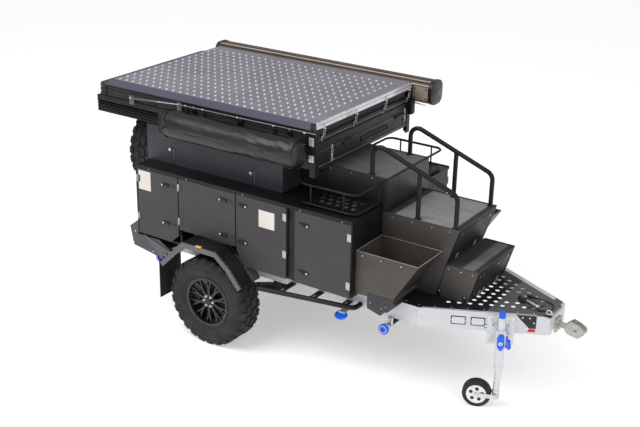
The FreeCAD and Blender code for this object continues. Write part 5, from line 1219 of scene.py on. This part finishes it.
def barMesh(size, skin):
    seed = bmesh.new()
    bmesh.ops.create_uvsphere(seed, u_segments=14, v_segments=6, radius=1.0)
    bmesh.ops.delete(seed, geom=[v for v in seed.verts if v.co.z < -0.05], context="VERTS")
    bmesh.ops.scale(seed, verts=seed.verts, vec=size)
    for face in seed.faces:
        face.material_index = skin
    mesh = bpy.data.meshes.new("bar")
    seed.to_mesh(mesh)
    seed.free()
    return mesh


def makeLidBars(look, bars):
    shape = bmesh.new()
    columns = int((look["front"] - look["rear"] - look["free"]) / look["pitchX"])
    rows = int((2 * look["half"] - look["free"]) / look["pitchY"]) + 1
    for skin, bar in enumerate(bars):
        mesh = barMesh(bar["size"], skin)
        turn = Matrix.Rotation(math.radians(bar["turn"]), 4, "Z")
        for i in range(columns):
            x = look["rear"] + look["firstX"] + (i + bar["shift"]) * look["pitchX"]
            for j in range(rows):
                y = -look["half"] + look["firstY"] + (j + bar["shift"]) * look["pitchY"]
                if y > look["half"] - look["lastY"]:
                    continue
                count = len(shape.verts)
                shape.from_mesh(mesh)
                shape.verts.ensure_lookup_table()
                bmesh.ops.transform(shape, verts=shape.verts[count:],
                                    matrix=Matrix.Translation((x, y, look["top"])) @ turn)
        bpy.data.meshes.remove(mesh)
    dress("lidBars", shape, ["lidBar", "lidBarLow"], body="tent_lid", crease=80.0)


makeLidBars(lidLook, lidBars)

lidTrim = {
    "skins": ["latchBlack", "lidFold", "brightAlloy"], "slot": "lid_plate", "body": "tent_lid",
    "boxes": [((-1.232, sign * 0.7515, 2.0842), (0.968, sign * 0.7415, 2.0895), 0.001, 0)
              for sign in (1, -1)]
             + [((0.936, y - 0.01, 2.09), (0.9735, y + 0.0115, 2.143), 0.003, 0)
                for y in (0.742, -0.742)]
             + [((0.9725, -0.728, 2.149), (0.9885, 0.728, 2.1506), 0.0006, 2),
                ((0.9893, -0.728, 2.1285), (0.9903, 0.728, 2.1315), 0, 0)],
    "sweeps": [([(-1.14, y, 2.1492), (0.97, y, 2.1492)], 0.0022, 1, False, False)
               for y in (0.7318, -0.7318)],
    "bolts": [([(x, sign * 0.744, 2.108) for x in (-1.0, -0.5, 0.0, 0.5, 0.9)], (0, sign, 0.28),
               0.0032, 1) for sign in (1, -1)]
             + [([(0.9805, -0.7 + i * 0.1, 2.1506) for i in range(15)], toTop, 0.003, 1)],
    "rods": [((-1.2475, -0.7 + i * 0.0737, 2.0935), (-1.2475, -0.6988 + i * 0.0737, 2.0935),
              0.0096, 16, 0.0, 0) for i in range(20)]}
makeTrim("lidTrim", lidTrim)
print("lid dressed")


# Side of the tent: alloy rail with its brackets and corner plates, gas strut, ribs

bracketSpots = (-0.322, -0.14, 0.22, 0.581, 0.88)
cornerPlates = ((1.96, 2.03), (1.827, 1.884))
tentSide = {
    "skins": ["hingeSilver", "latchBlack", "standSilver", "railGrey"], "slot": "silver_rail",
    "boxes": [((x - 0.013, -0.7412, 1.946), (x + 0.013, -0.737, 2.046), 0.0008, 1)
              for x in bracketSpots]
             + [((0.919, -0.7472, low), (0.965, -0.7438, high), 0.001, 0)
                for low, high in cornerPlates],
    "rods": [((-0.398, -0.7525, 2.0555), (0.985, -0.7525, 2.0675), 0.0038, 14, 0.0, 3)]
            + [((x - 0.011, -0.7525, 2.0585), (x + 0.011, -0.7525, 2.0587), 0.007, 16, 0.001, 0)
               for x in bracketSpots],
    "bolts": [([(x, -0.7412, 1.962) for x in bracketSpots], toNear, 0.0032, 2),
              ([(x, -0.7472, z) for low, high in cornerPlates for x in (0.93, 0.954)
                for z in (low + 0.012, high - 0.012)], toNear, 0.0036, 2)],
    "parts": [(frameAt((x, -0.7392, 2.043), toFront, (0, -0.62, 0.785)),
               {"boxes": [((-0.013, 0.0, -0.0018), (0.013, 0.026, 0.0018), 0.0008, 1)]})
              for x in bracketSpots]}
makeTrim("tentSide", tentSide)

strutEnds = (Vector((-0.934, -0.756, 2.018)), Vector((-0.398, -0.756, 2.057)))
strut = {share: strutEnds[0].lerp(strutEnds[1], share) for share in (0.04, 0.514, 0.52, 0.526)}
# The strut is black satin; the grey foldLight on its cylinder is a painted sheen along it
gasStrut = {
    "skins": ["hingeSilver", "foldLight"], "slot": "silver_rail",
    "rods": [(strut[0.04], strut[0.52], 0.0092, 20, 0.001, 1),
             (strut[0.52], strutEnds[1], 0.0042, 16, 0, 0),
             (strut[0.514], strut[0.526], 0.0098, 20, 0.0008, 1)]
            + [(spot + Vector((0, 0.019, 0)), spot - Vector((0, 0.008, 0)), 0.0065, 16, 0.0012, 0)
               for spot in strutEnds],
    "turned": [([(0.0, -0.01), (0.0075, -0.0075), (0.0105, 0.0), (0.0075, 0.0075), (0.0, 0.01)],
                spot, toFront, 0, 16) for spot in strutEnds],
    "boxes": [((-0.962, -0.7415, 1.955), (-0.906, -0.737, 2.036), 0.001, 1),
              ((-0.424, -0.7415, 1.955), (-0.372, -0.737, 2.072), 0.001, 1)]}
makeTrim("gasStrut", gasStrut)

tentRibs = {
    "skins": ["tentBoard"], "slot": "panel_black",
    "boxes": [((-1.344, y - 0.0035, z - 0.0085), (-0.642, y + 0.0035, z + 0.0085), 0.002, 0)
              for y in (0.7335, -0.7335) for z in (1.8475, 1.873, 1.8985, 1.9245)]
             + [((-0.6405, y - 0.001, 1.764), (-0.6335, y + 0.003, 1.93), 0.001, 0)
                for y in (0.7372, -0.7372)],
    "sweeps": [([(-1.345, y, 1.9748), (0.972, y, 1.9748)], 0.0028, 0, False, False)
               for y in (0.738, -0.738)]}
makeTrim("tentRibs", tentRibs)


# Awning: strips round the case, cream ones a painted highlight on its rounded corner, its bracket
# on the tent, end plates and rounded caps

awningLook = {"rear": -1.186, "front": 1.136, "centre": Vector((0, 0.836, 2.096)), "round": 0.07}
# Angle, width, thickness and skin of each strip: the cream ones paint the highlight on the rounded
# corner, the black ones are dark lines beside it
awningStrips = ((112, 0.0145, 0.0022, 0), (128, 0.006, 0.0018, 1), (96, 0.004, 0.0022, 1),
                (150, 0.005, 0.0018, 0))


def stripPart(look, degrees, wide, thick, skin):
    turn = math.radians(degrees)
    out = Vector((0, math.cos(turn), math.sin(turn)))
    place = frameAt(look["centre"] + out * look["round"], toFront, out.cross(Vector(toFront)))
    return place, {"boxes": [((look["rear"], -wide / 2, -0.003), (look["front"], wide / 2, thick),
                              0.0008, skin)]}


awningTrim = {
    "skins": ["creamPaintedHighlight", "latchBlack", "bracketBeige", "brightAlloy", "chassisBlack"],
    "slot": "awning_case",
    "parts": [stripPart(awningLook, *strip) for strip in awningStrips],
    "boxes": [((-1.186, 0.9655, z), (1.136, 0.9682, z + 0.006), 0.0008, 1)
              for z in (1.985, 2.01, 2.06)]
             # The cream strip along the outer face takes the same painted highlight
             + [((-1.186, 0.96, 2.1), (1.136, 0.9675, 2.115), 0.002, 0),
                ((0.985, 0.7628, 2.0), (1.134, 0.7662, 2.118), 0.0012, 2),
                ((0.9805, 0.702, 1.872), (1.018, 0.76, 2.004), 0.004, 1),
                ((1.018, 0.708, 1.884), (1.021, 0.754, 1.992), 0.001, 4),
                ((-1.2205, 0.792, 2.03), (-1.2235, 0.94, 2.094), 0.0012, 1),
                ((1.1705, 0.792, 2.03), (1.1735, 0.94, 2.094), 0.0012, 1)],
    "rods": [((1.01, 0.756, 1.972), (1.128, 0.756, 1.964), 0.0062, 16, 0.001, 3)],
    "bolts": [([(x, 0.7628, z) for x in (1.003, 1.116) for z in (2.018, 2.1)], toNear, 0.0058, 1)]
             + [([(x, y, z) for y, z in ((0.8, 2.0), (0.93, 2.0), (0.8, 2.125), (0.93, 2.125),
                                         (0.866, 2.062))], out, 0.0052, 1)
                for x, out in ((-1.2205, toRear), (1.1705, toFront))]}
makeTrim("awningTrim", awningTrim)

capCorners = ((0.9, 2.0995, 0), (0.8365, 2.0995, 90), (0.8365, 2.0265, 180), (0.9, 2.0265, 270))
capLine = [(y + 0.0715 * math.cos(math.radians(first + step * 15)),
            z + 0.0715 * math.sin(math.radians(first + step * 15)))
           for y, z, first in capCorners for step in range(7)]
awningCaps = {
    "skins": ["latchBlack"], "slot": "awning_case",
    "plates": [(capLine, "x", west, east, 0.003, 0) for west, east in ((-1.2206, -1.1858),
                                                                       (1.1358, 1.1706))]}
makeTrim("awningCaps", awningCaps)
print("tent side and awning dressed")


# Drawbar: plates, slot, gusset and reflector on the near rail, strips along the deck's edges

railAlong = (0.8966, 0.4429, 0.0)
deckTaper = {"end": 2.71, "slope": 0.494, "rail": 0.19, "top": 0.7845}


# Frame on the outer face of the near drawbar rail: along it, up, and outward
def railPlace(x, z):
    y = -(deckTaper["rail"] + deckTaper["slope"] * (deckTaper["end"] - x))
    return frameAt((x, y, z), railAlong, toTop)


def blankPlate(x, wide):
    half = wide / 2
    return railPlace(x, 0.695), {
        "boxes": [((-half, -0.036, 0), (half, 0.036, 0.0022), 0.0008, 4),
                  ((-half + 0.008, -0.028, 0.0022), (half - 0.008, 0.028, 0.003), 0, 0)],
        "bolts": [([(side * (half - 0.0045), 0.0, 0.0022) for side in (-1, 1)], toTop, 0.0032, 2)]}


def edgeStrip(sign, wide):
    ends = [(x, sign * (deckTaper["rail"] + deckTaper["slope"] * (deckTaper["end"] - x)))
            for x in (1.905, 2.704)]
    inner = [(x, y - sign * wide) for x, y in reversed(ends)]
    return ends + inner, "z", 0.7838, 0.7868, 0.0008, 0


drawbarTrim = {
    "skins": ["railZinc", "platePale", "brightAlloy", "shackleRed", "latchBlack", "wheelWhite"],
    "slot": "galvanised",
    "plates": [edgeStrip(1, 0.05), edgeStrip(-1, 0.008)],
    "parts": [
        blankPlate(2.165, 0.118), blankPlate(2.302, 0.112),
        (railPlace(2.395, 0.662), {
            "boxes": [((-0.052, -0.016, -0.001), (0.03, 0.016, 0.0016), 0.0006, 4),
                      ((-0.049, -0.012, 0.0016), (0.027, 0.012, 0.0024), 0.0004, 1)]}),
        (railPlace(2.64, 0.7), {
            "plates": [([(-0.085, 0.078), (0.072, 0.078), (0.072, -0.03), (0.02, -0.03)], "z", 0,
                        0.005, 0.001, 4)],
            "bolts": [([(-0.035, 0.06, 0.005), (0.02, 0.06, 0.005), (0.055, 0.02, 0.005)], toTop,
                       0.0052, 2)]}),
        (railPlace(2.672, 0.652), {
            "boxes": [((-0.038, -0.02, 0), (0.038, 0.02, 0.003), 0.001, 5),
                      ((-0.02, -0.014, 0.003), (0.034, 0.014, 0.0052), 0.001, 3)],
            "sweeps": [([(-0.03, -0.01, 0.004), (-0.02, 0.004, 0.012), (-0.006, 0.008, 0.014),
                         (0.008, 0.002, 0.012), (0.014, -0.012, 0.004)], 0.0036, 3, False, True)]})]
             + [(railPlace(x, 0.742), {"bolts": [([(0, 0, 0)], toTop, 0.0062, 2)]})
                for x in (1.62, 1.86, 2.02, 2.44, 2.58)]}
makeTrim("drawbarTrim", drawbarTrim)


# Nose: coupling bolts and collar, then cross bars, pin, bolts and a small bow on the deck

couplingTrim = {
    "skins": ["brightAlloy", "castGrey"], "slot": "cast_coupling",
    "bolts": [([(2.82, y, z) for y in (-0.036, 0.036) for z in (0.628, 0.702)], toFront, 0.0085,
               0)],
    "turned": [([(0.0242, 0.0), (0.032, 0.0), (0.0335, 0.004), (0.032, 0.01), (0.0265, 0.013),
                 (0.0242, 0.013)], (2.822, 0, 0.665), toFront, 1, 32)]}
makeTrim("couplingTrim", couplingTrim)


def crossBar(start, end):
    along = Vector(end) - Vector(start)
    place = frameAt(start, along, Vector(toTop).cross(along))
    return place, {"boxes": [((0, -0.01, 0.0), (along.length, 0.01, 0.0026), 0.0008, 0)]}


# How far from the middle a deck bolt sits at x: near the edge, and where the deck tapers, inside it
def boltReach(x):
    tapered = 0.18 + deckTaper["slope"] * (deckTaper["end"] - x) - 0.03
    return min(0.56, tapered) if x > 1.9 else 0.56


deckTop = deckTaper["top"]
deckFittings = {
    "skins": ["latchBlack", "brightAlloy"], "slot": "galvanised",
    "parts": [
        crossBar((2.585, -0.118, deckTop), (2.69, 0.01, deckTop)),
        crossBar((2.69, -0.12, deckTop), (2.6, 0.02, deckTop)),
        (frameAt((2.52, 0.012, deckTop), (0.92, -0.39, 0), (0.39, 0.92, 0)), {
            "boxes": [((0, -0.011, 0.0), (0.122, 0.011, 0.0038), 0.001, 1)],
            "bolts": [([(0.014, 0, 0.0038), (0.108, 0, 0.0038)], toTop, 0.0048, 1)]})],
    "turned": [([(0.0, 0.0), (0.017, 0.0), (0.017, 0.006), (0.013, 0.0095), (0.0, 0.0105)],
                (2.646, -0.05, deckTop + 0.002), toTop, 1, 24)],
    "bolts": [([(1.52 + i * 0.115, sign * boltReach(1.52 + i * 0.115), deckTop - 0.0005)
                for i in range(11) for sign in (1, -1)], toTop, 0.0046, 1)],
    "sweeps": [([(2.76, -0.15, 0.8), (2.766, -0.158, 0.822), (2.778, -0.166, 0.842),
                 (2.795, -0.166, 0.846), (2.806, -0.156, 0.832), (2.806, -0.146, 0.808)], 0.0052,
                1, False, True)],
    "rods": [((2.756, -0.148, 0.797), (2.811, -0.146, 0.803), 0.0062, 16, 0.001, 1)],
    "boxes": [((2.752, -0.172, 0.7815), (2.812, -0.128, 0.7955), 0.003, 0)]}
makeTrim("deckFittings", deckFittings)


# Lead: ribbed boot and clamps where it leaves its gland, collar, grips and pins of the plug

plugEnd = Vector((2.548, -0.056, 0.8063))
heading = (plugEnd - Vector((2.586, -0.078, 0.8063))).normalized()
pinSide = heading.cross(Vector(toTop))
pinSpots = [plugEnd + heading * 0.081
            + (pinSide * math.cos(a) + Vector(toTop) * math.sin(a)) * 0.011 for a in turns(6)]
bootLine = [(0.0, 0.0), (0.0128, 0.0)]
for i in range(6):
    along, radius = 0.004 + i * 0.006, 0.0122 - i * 0.0008
    bootLine += [(radius, along), (radius, along + 0.0034), (radius - 0.0022, along + 0.004),
                 (radius - 0.0022, along + 0.0056)]
bootLine += [(0.0074, 0.042), (0.0064, 0.0445), (0.0, 0.0445)]
leadTrim = {
    "skins": ["plugShell", "brightAlloy"], "slot": "plug_black",
    "turned": [(bootLine, (2.5445, 0.062, 0.8), toFront, 0, 28),
               ([(0.0, -0.018), (0.0072, -0.018), (0.0095, -0.004), (0.0118, 0.0),
                 (0.0118, 0.014), (0.0, 0.014)], plugEnd, heading, 0, 24),
               ([(0.0, 0.0), (0.019, 0.0), (0.019, 0.0018), (0.0, 0.0018)],
                plugEnd + heading * 0.0796, heading, 1, 28)]
              + [([(0.0215, -0.0022), (0.0232, -0.0012), (0.0232, 0.0012), (0.0215, 0.0022)],
                  plugEnd + heading * along, heading, 0, 32)
                 for along in (0.02, 0.034, 0.048, 0.062)],
    "boxes": [((x - 0.0028, 0.047, 0.7842), (x + 0.0028, 0.077, 0.8145), 0.0012, 0)
              for x in (2.5155, 2.5395)],
    "bolts": [([(2.5275, 0.0515, 0.813), (2.5275, 0.0725, 0.813)], toTop, 0.0026, 1)],
    "rods": [(spot, spot + heading * 0.0035, 0.0026, 12, 0, 1) for spot in pinSpots]}
makeTrim("leadTrim", leadTrim)
print("nose dressed")


# Jockey stand: clamp on the rail, tube with collars, blue handles, fork and wheel

jockeyFoot = Matrix.Translation((2.51, -0.40588, 0))
jockeyPlace = jockeyFoot @ Matrix.Rotation(math.atan2(railAlong[1], railAlong[0]), 4, "Z")
castorPlace = jockeyFoot @ Matrix.Rotation(math.radians(-160), 4, "Z")

clampTrim = {
    "skins": ["standSilver", "brightAlloy"], "slot": "stand_silver", "place": jockeyPlace,
    "bolts": [([(-0.086, 0.097, 0.54), (-0.086, 0.097, 0.738), (0.0, 0.097, 0.54),
                (0.086, 0.097, 0.54), (0.086, 0.097, 0.738)], toNear, 0.0095, 1)],
    "plates": [([(-0.1058, 0.5152), (0.1058, 0.5152), (0.1058, 0.7628), (0.06, 0.7628),
                 (-0.06, 0.7628), (-0.1058, 0.7628)], "y", 0.0962, 0.1052, 0.0022, 0)],
    "boxes": [((x - 0.006, 0.088, 0.545), (x + 0.006, 0.0965, 0.733), 0.002, 0)
              for x in (-0.068, 0.068)]}
makeTrim("clampTrim", clampTrim)

collars = ((0.352, 0.0305), (0.372, 0.0295), (0.56, 0.03), (0.712, 0.03), (0.788, 0.0305))
standTrim = {
    "skins": ["standSilver", "brightAlloy"], "slot": "stand_silver", "body": "jockey_stand",
    "place": jockeyPlace,
    "turned": [([(0.0275, -0.006), (radius, -0.005), (radius, 0.005), (0.0275, 0.006)], (0, 0, z),
                toTop, 0, 36) for z, radius in collars]
              + [([(0.027, 0.352), (0.035, 0.352), (0.036, 0.356), (0.036, 0.575),
                   (0.0345, 0.583), (0.027, 0.585)], (0, 0, 0), toTop, 0, 48),
                 ([(0.021, 0.161), (0.0255, 0.161), (0.0255, 0.351), (0.021, 0.351)], (0, 0, 0),
                  toTop, 0, 40),
                 ([(0.0215, 0.0), (0.0285, 0.0), (0.0285, 0.02), (0.025, 0.024), (0.0215, 0.024)],
                  (0, 0, 0.136), toTop, 0, 32)],
    "bolts": [([(0.058 * math.cos(a), 0.0765, 0.64 + 0.058 * math.sin(a)) for a in turns(8, 0.3)],
               toNear, 0.0062, 1),
              ([(x, -0.038, z) for x in (-0.022, 0.022) for z in (0.603, 0.678)], toNear, 0.0062,
               1)],
    "rods": [((0.038, 0.0, 0.65), (0.056, 0.0, 0.65), 0.0085, 20, 0.001, 1)],
    "sweeps": [([(0.046, -0.01, 0.6), (0.052, -0.02, 0.585), (0.05, -0.012, 0.566),
                 (0.046, 0.0, 0.566), (0.044, 0.002, 0.585)], 0.0026, 1, True, True)]}
makeTrim("standTrim", standTrim)

handleLine = [(0.012, 0.672), (0.028, 0.655), (0.029, 0.58), (0.02, 0.545), (0.004, 0.532),
              (-0.012, 0.545), (-0.026, 0.57), (-0.028, 0.64), (-0.012, 0.668)]
gripRidges = [(0.0238 * math.cos(a), 0.0238 * math.sin(a)) for a in turns(16)]
handleDress = {
    "skins": ["lifterBlue", "brightAlloy", "wheelWhite"], "slot": "lifter_blue",
    "body": "jockey_stand", "place": jockeyPlace,
    "plates": [(handleLine, "y", -0.0375, -0.056, 0.003, 0),
               ([(-0.009, 0.64), (0.009, 0.64), (0.0095, 0.575), (-0.0095, 0.575)], "y", -0.0558,
                -0.058, 0.0008, 0),
               ([(-0.0135, 0.642), (0.0135, 0.642), (0.015, 0.575), (0.0125, 0.544),
                 (-0.0125, 0.544), (-0.015, 0.575)], "x", 0.0378, 0.0548, 0.003, 0),
               ([(0.05, 0.62), (0.078, 0.612), (0.086, 0.548), (0.074, 0.528), (0.054, 0.532),
                 (0.048, 0.58)], "y", -0.015, -0.003, 0.003, 0)],
    "turned": [([(0.006, 0.0), (0.015, 0.0), (0.016, 0.003), (0.015, 0.006), (0.006, 0.007)],
                (0, -0.0558, 0.6), toNear, 1, 28),
               ([(0.0, 0.0), (0.024, 0.0), (0.024, 0.044), (0.0215, 0.05), (0.0, 0.052)],
                (0, 0, 0.7995), toTop, 0, 32)],
    "rods": [((x, y, 0.804), (x, y, 0.841), 0.0016, 8, 0, 0) for x, y in gripRidges]
            + [((0.0548, 0, 0.628), (0.0575, 0, 0.628), 0.0072, 20, 0.0006, 1),
               ((0.0548, 0, 0.556), (0.0562, 0, 0.556), 0.005, 16, 0, 2)]}
makeTrim("handleDress", handleDress)

forkTrim = {
    "skins": ["standSilver", "brightAlloy"], "slot": "stand_silver", "body": "jockey_castor",
    "place": castorPlace,
    "turned": [([(0.0, 0.0), (0.015, 0.0), (0.015, 0.0035), (0.0, 0.0042)],
                (0.15, side * 0.0485, 0.115), (0, side, 0), 0, 24) for side in (1, -1)]
              + [([(0.0255, 0.0), (0.03, 0.0), (0.03, 0.006), (0.0255, 0.0075)], (0, 0, 0.1),
                  toTop, 0, 32)],
    "rods": [((0.15, side * 0.0515, 0.115), (0.15, side * 0.0605, 0.115), 0.011, 6, 0.001, 1)
             for side in (1, -1)],
    "bolts": [([(0.02, side * 0.0485, 0.115), (0.06, side * 0.0485, 0.115)], (0, side, 0), 0.0052,
               1) for side in (1, -1)]}
makeTrim("forkTrim", forkTrim)

hubHoles = [(0.15 + 0.0475 * math.cos(a), side * 0.036, 0.115 + 0.0475 * math.sin(a), side)
            for side in (1, -1) for a in turns(5, 0.4)]
castorTrim = {
    "skins": ["wheelWhite", "latchBlack"], "slot": "castor_white", "body": "jockey_wheel",
    "place": castorPlace,
    "turned": [(line, (0.15, side * 0.036, 0.115), (0, side, 0), 0, steps)
               for side in (1, -1) for steps, line in (
                   (48, [(0.078, 0.0), (0.0805, 0.0008), (0.079, 0.003), (0.072, 0.0024),
                         (0.068, -0.003), (0.066, -0.003)]),
                   (32, [(0.009, 0.0), (0.025, 0.0), (0.0235, 0.0034), (0.015, 0.0042),
                         (0.009, 0.0042)]))]
              + [([(0.0, 0.0004), (0.012, 0.0004), (0.0132, 0.0016), (0.0146, 0.0012),
                   (0.015, 0.0)], (x, y, z), (0, side, 0), 1, 20) for x, y, z, side in hubHoles]
              + [([(0.1135, along - 0.0018), (0.1153, along - 0.0012), (0.1153, along + 0.0012),
                   (0.1135, along + 0.0018)], (0.15, 0, 0.115), toFar, 1, 56)
                 for along in (-0.0225, -0.0075, 0.0075, 0.0225)]}
makeTrim("castorTrim", castorTrim)


# Side sliders, stabiliser legs with their feet, and the spare wheel's carrier

legSpots = (1.64, -0.7)
sliderBolts = [(1.35 - 0.855 * share, -0.69 - 0.16 * share + lift, 0.653)
               for share in (0.12, 0.45, 0.78) for lift in (0.048, 0.0672)]
sideFittings = {
    "skins": ["brightAlloy", "chassisBlack", "standSilver"], "slot": "chassis_paint",
    "mirror": True,
    "bolts": [(sliderBolts, toTop, 0.0062, 0), ([(0.47, -0.806, 0.65)], toNear, 0.0078, 0)],
    "rods": [((0.458, -0.781, 0.65), (0.4555, -0.781, 0.65), 0.0195, 24, 0.001, 1),
             ((1.352, -0.64, 0.65), (1.3535, -0.64, 0.65), 0.018, 24, 0.001, 1)]
            + [((x, -0.672, 0.584), (x, -0.672, 0.604), 0.0052, 14, 0.0008, 0) for x in legSpots],
    "boxes": [((x - 0.026, -0.69, 0.536), (x + 0.026, -0.655, 0.584), 0.003, 2) for x in legSpots]
             + [((x - 0.022, -0.63, 0.54), (x + 0.022, -0.6, 0.622), 0.003, 2) for x in legSpots]
             + [((1.2, -0.7, 0.575), (1.262, -0.56, 0.585), 0.002, 2)],
    "sweeps": [([(x + 0.012 * math.cos(a), -0.672, 0.612 + 0.012 * math.sin(a))
                 for a in turns(16)], 0.0022, 0, True, True) for x in legSpots],
    "turned": [([(0.026, 0.0), (0.03, 0.0), (0.03, 0.0022), (0.026, 0.0022)], (x, -0.7203, 0.56),
                toNear, 0, 32) for x in legSpots]}
makeTrim("sideFittings", sideFittings)

stowedFeet = {
    "skins": ["lifterBlue"], "slot": "lifter_blue", "mirror": True,
    "place": (Matrix.Translation((1.232, -0.705, 0.56))
              @ Matrix.Rotation(math.radians(28), 4, "X") @ Matrix.Diagonal((1.25, 1.0, 1.0, 1.0))),
    "turned": [([(0.0, 0.01), (0.04, 0.01), (0.046, 0.004), (0.046, -0.002), (0.03, -0.007),
                 (0.0, -0.007)], (0, 0, 0), toTop, 0, 36)]}
makeTrim("stowedFeet", stowedFeet)

carrierNuts = [(-0.12 + 0.046 * math.cos(a), 1.405 + 0.046 * math.sin(a)) for a in turns(6)]
carrierTrim = {
    "skins": ["brightAlloy"], "slot": "chassis_paint",
    "rods": [((-1.173, y, z), (-1.186, y, z), 0.0092, 6, 0.0012, 0) for y, z in carrierNuts],
    "bolts": [([(-0.9205, y, z) for y in (-0.245, 0.005) for z in (0.96, 1.1, 1.3)], toRear,
               0.0075, 0)]}
makeTrim("carrierTrim", carrierTrim)
print("running gear dressed")


# Floor and light

studio = {"floorSize": 120.0, "floor": (246, 246, 247), "keyPower": 430.0, "keySize": 6.0,
          "keyPlace": (-2.5, -5.0, 7.5), "fillPower": 150.0, "fillPlace": (7.0, -3.0, 4.5),
          "worldStrength": 0.62, "glossStrength": 0.5, "floorGlow": 0.36}


def makeFloor(s):
    shape = bmesh.new()
    bmesh.ops.create_grid(shape, x_segments=1, y_segments=1, size=s["floorSize"] / 2)
    mesh = bpy.data.meshes.new("studioFloor")
    shape.to_mesh(mesh)
    shape.free()
    floor = bpy.data.objects.new("studioFloor", mesh)
    bpy.context.scene.collection.objects.link(floor)
    material, _, shader = startFinish("paleFloor", {"colour": s["floor"], "rough": 0.9})
    shader.inputs["Emission Color"].default_value = (1, 1, 1, 1)
    shader.inputs["Emission Strength"].default_value = s["floorGlow"]
    mesh.materials.append(material)


def makeLamp(name, place, power, size):
    data = bpy.data.lights.new(name, "AREA")
    data.energy, data.size = power, size
    lamp = bpy.data.objects.new(name, data)
    bpy.context.scene.collection.objects.link(lamp)
    away = Vector((0, 0, 1.0)) - Vector(place)
    turn = away.to_track_quat("-Z", "Y").to_matrix().to_4x4()
    lamp.matrix_world = Matrix.Translation(place) @ turn


def makeWorld(s):
    world = bpy.data.worlds.new("studio")
    bpy.context.scene.world = world
    world.use_nodes = True
    tree = world.node_tree
    shade = tree.nodes["Background"]
    ray = newNode(tree, "ShaderNodeLightPath")
    lit = spread(tree, ray.outputs["Is Glossy Ray"], 0.0, 1.0, s["worldStrength"],
                 s["glossStrength"])
    strength = math2(tree, "MAXIMUM", ray.outputs["Is Camera Ray"], lit)
    tree.links.new(strength, shade.inputs["Strength"])
    shade.inputs["Color"].default_value = (1, 1, 1, 1)


makeFloor(studio)
makeLamp("keyLamp", studio["keyPlace"], studio["keyPower"], studio["keySize"])
makeLamp("fillLamp", studio["fillPlace"], studio["fillPower"], studio["keySize"])
makeWorld(studio)
print("stage ready")
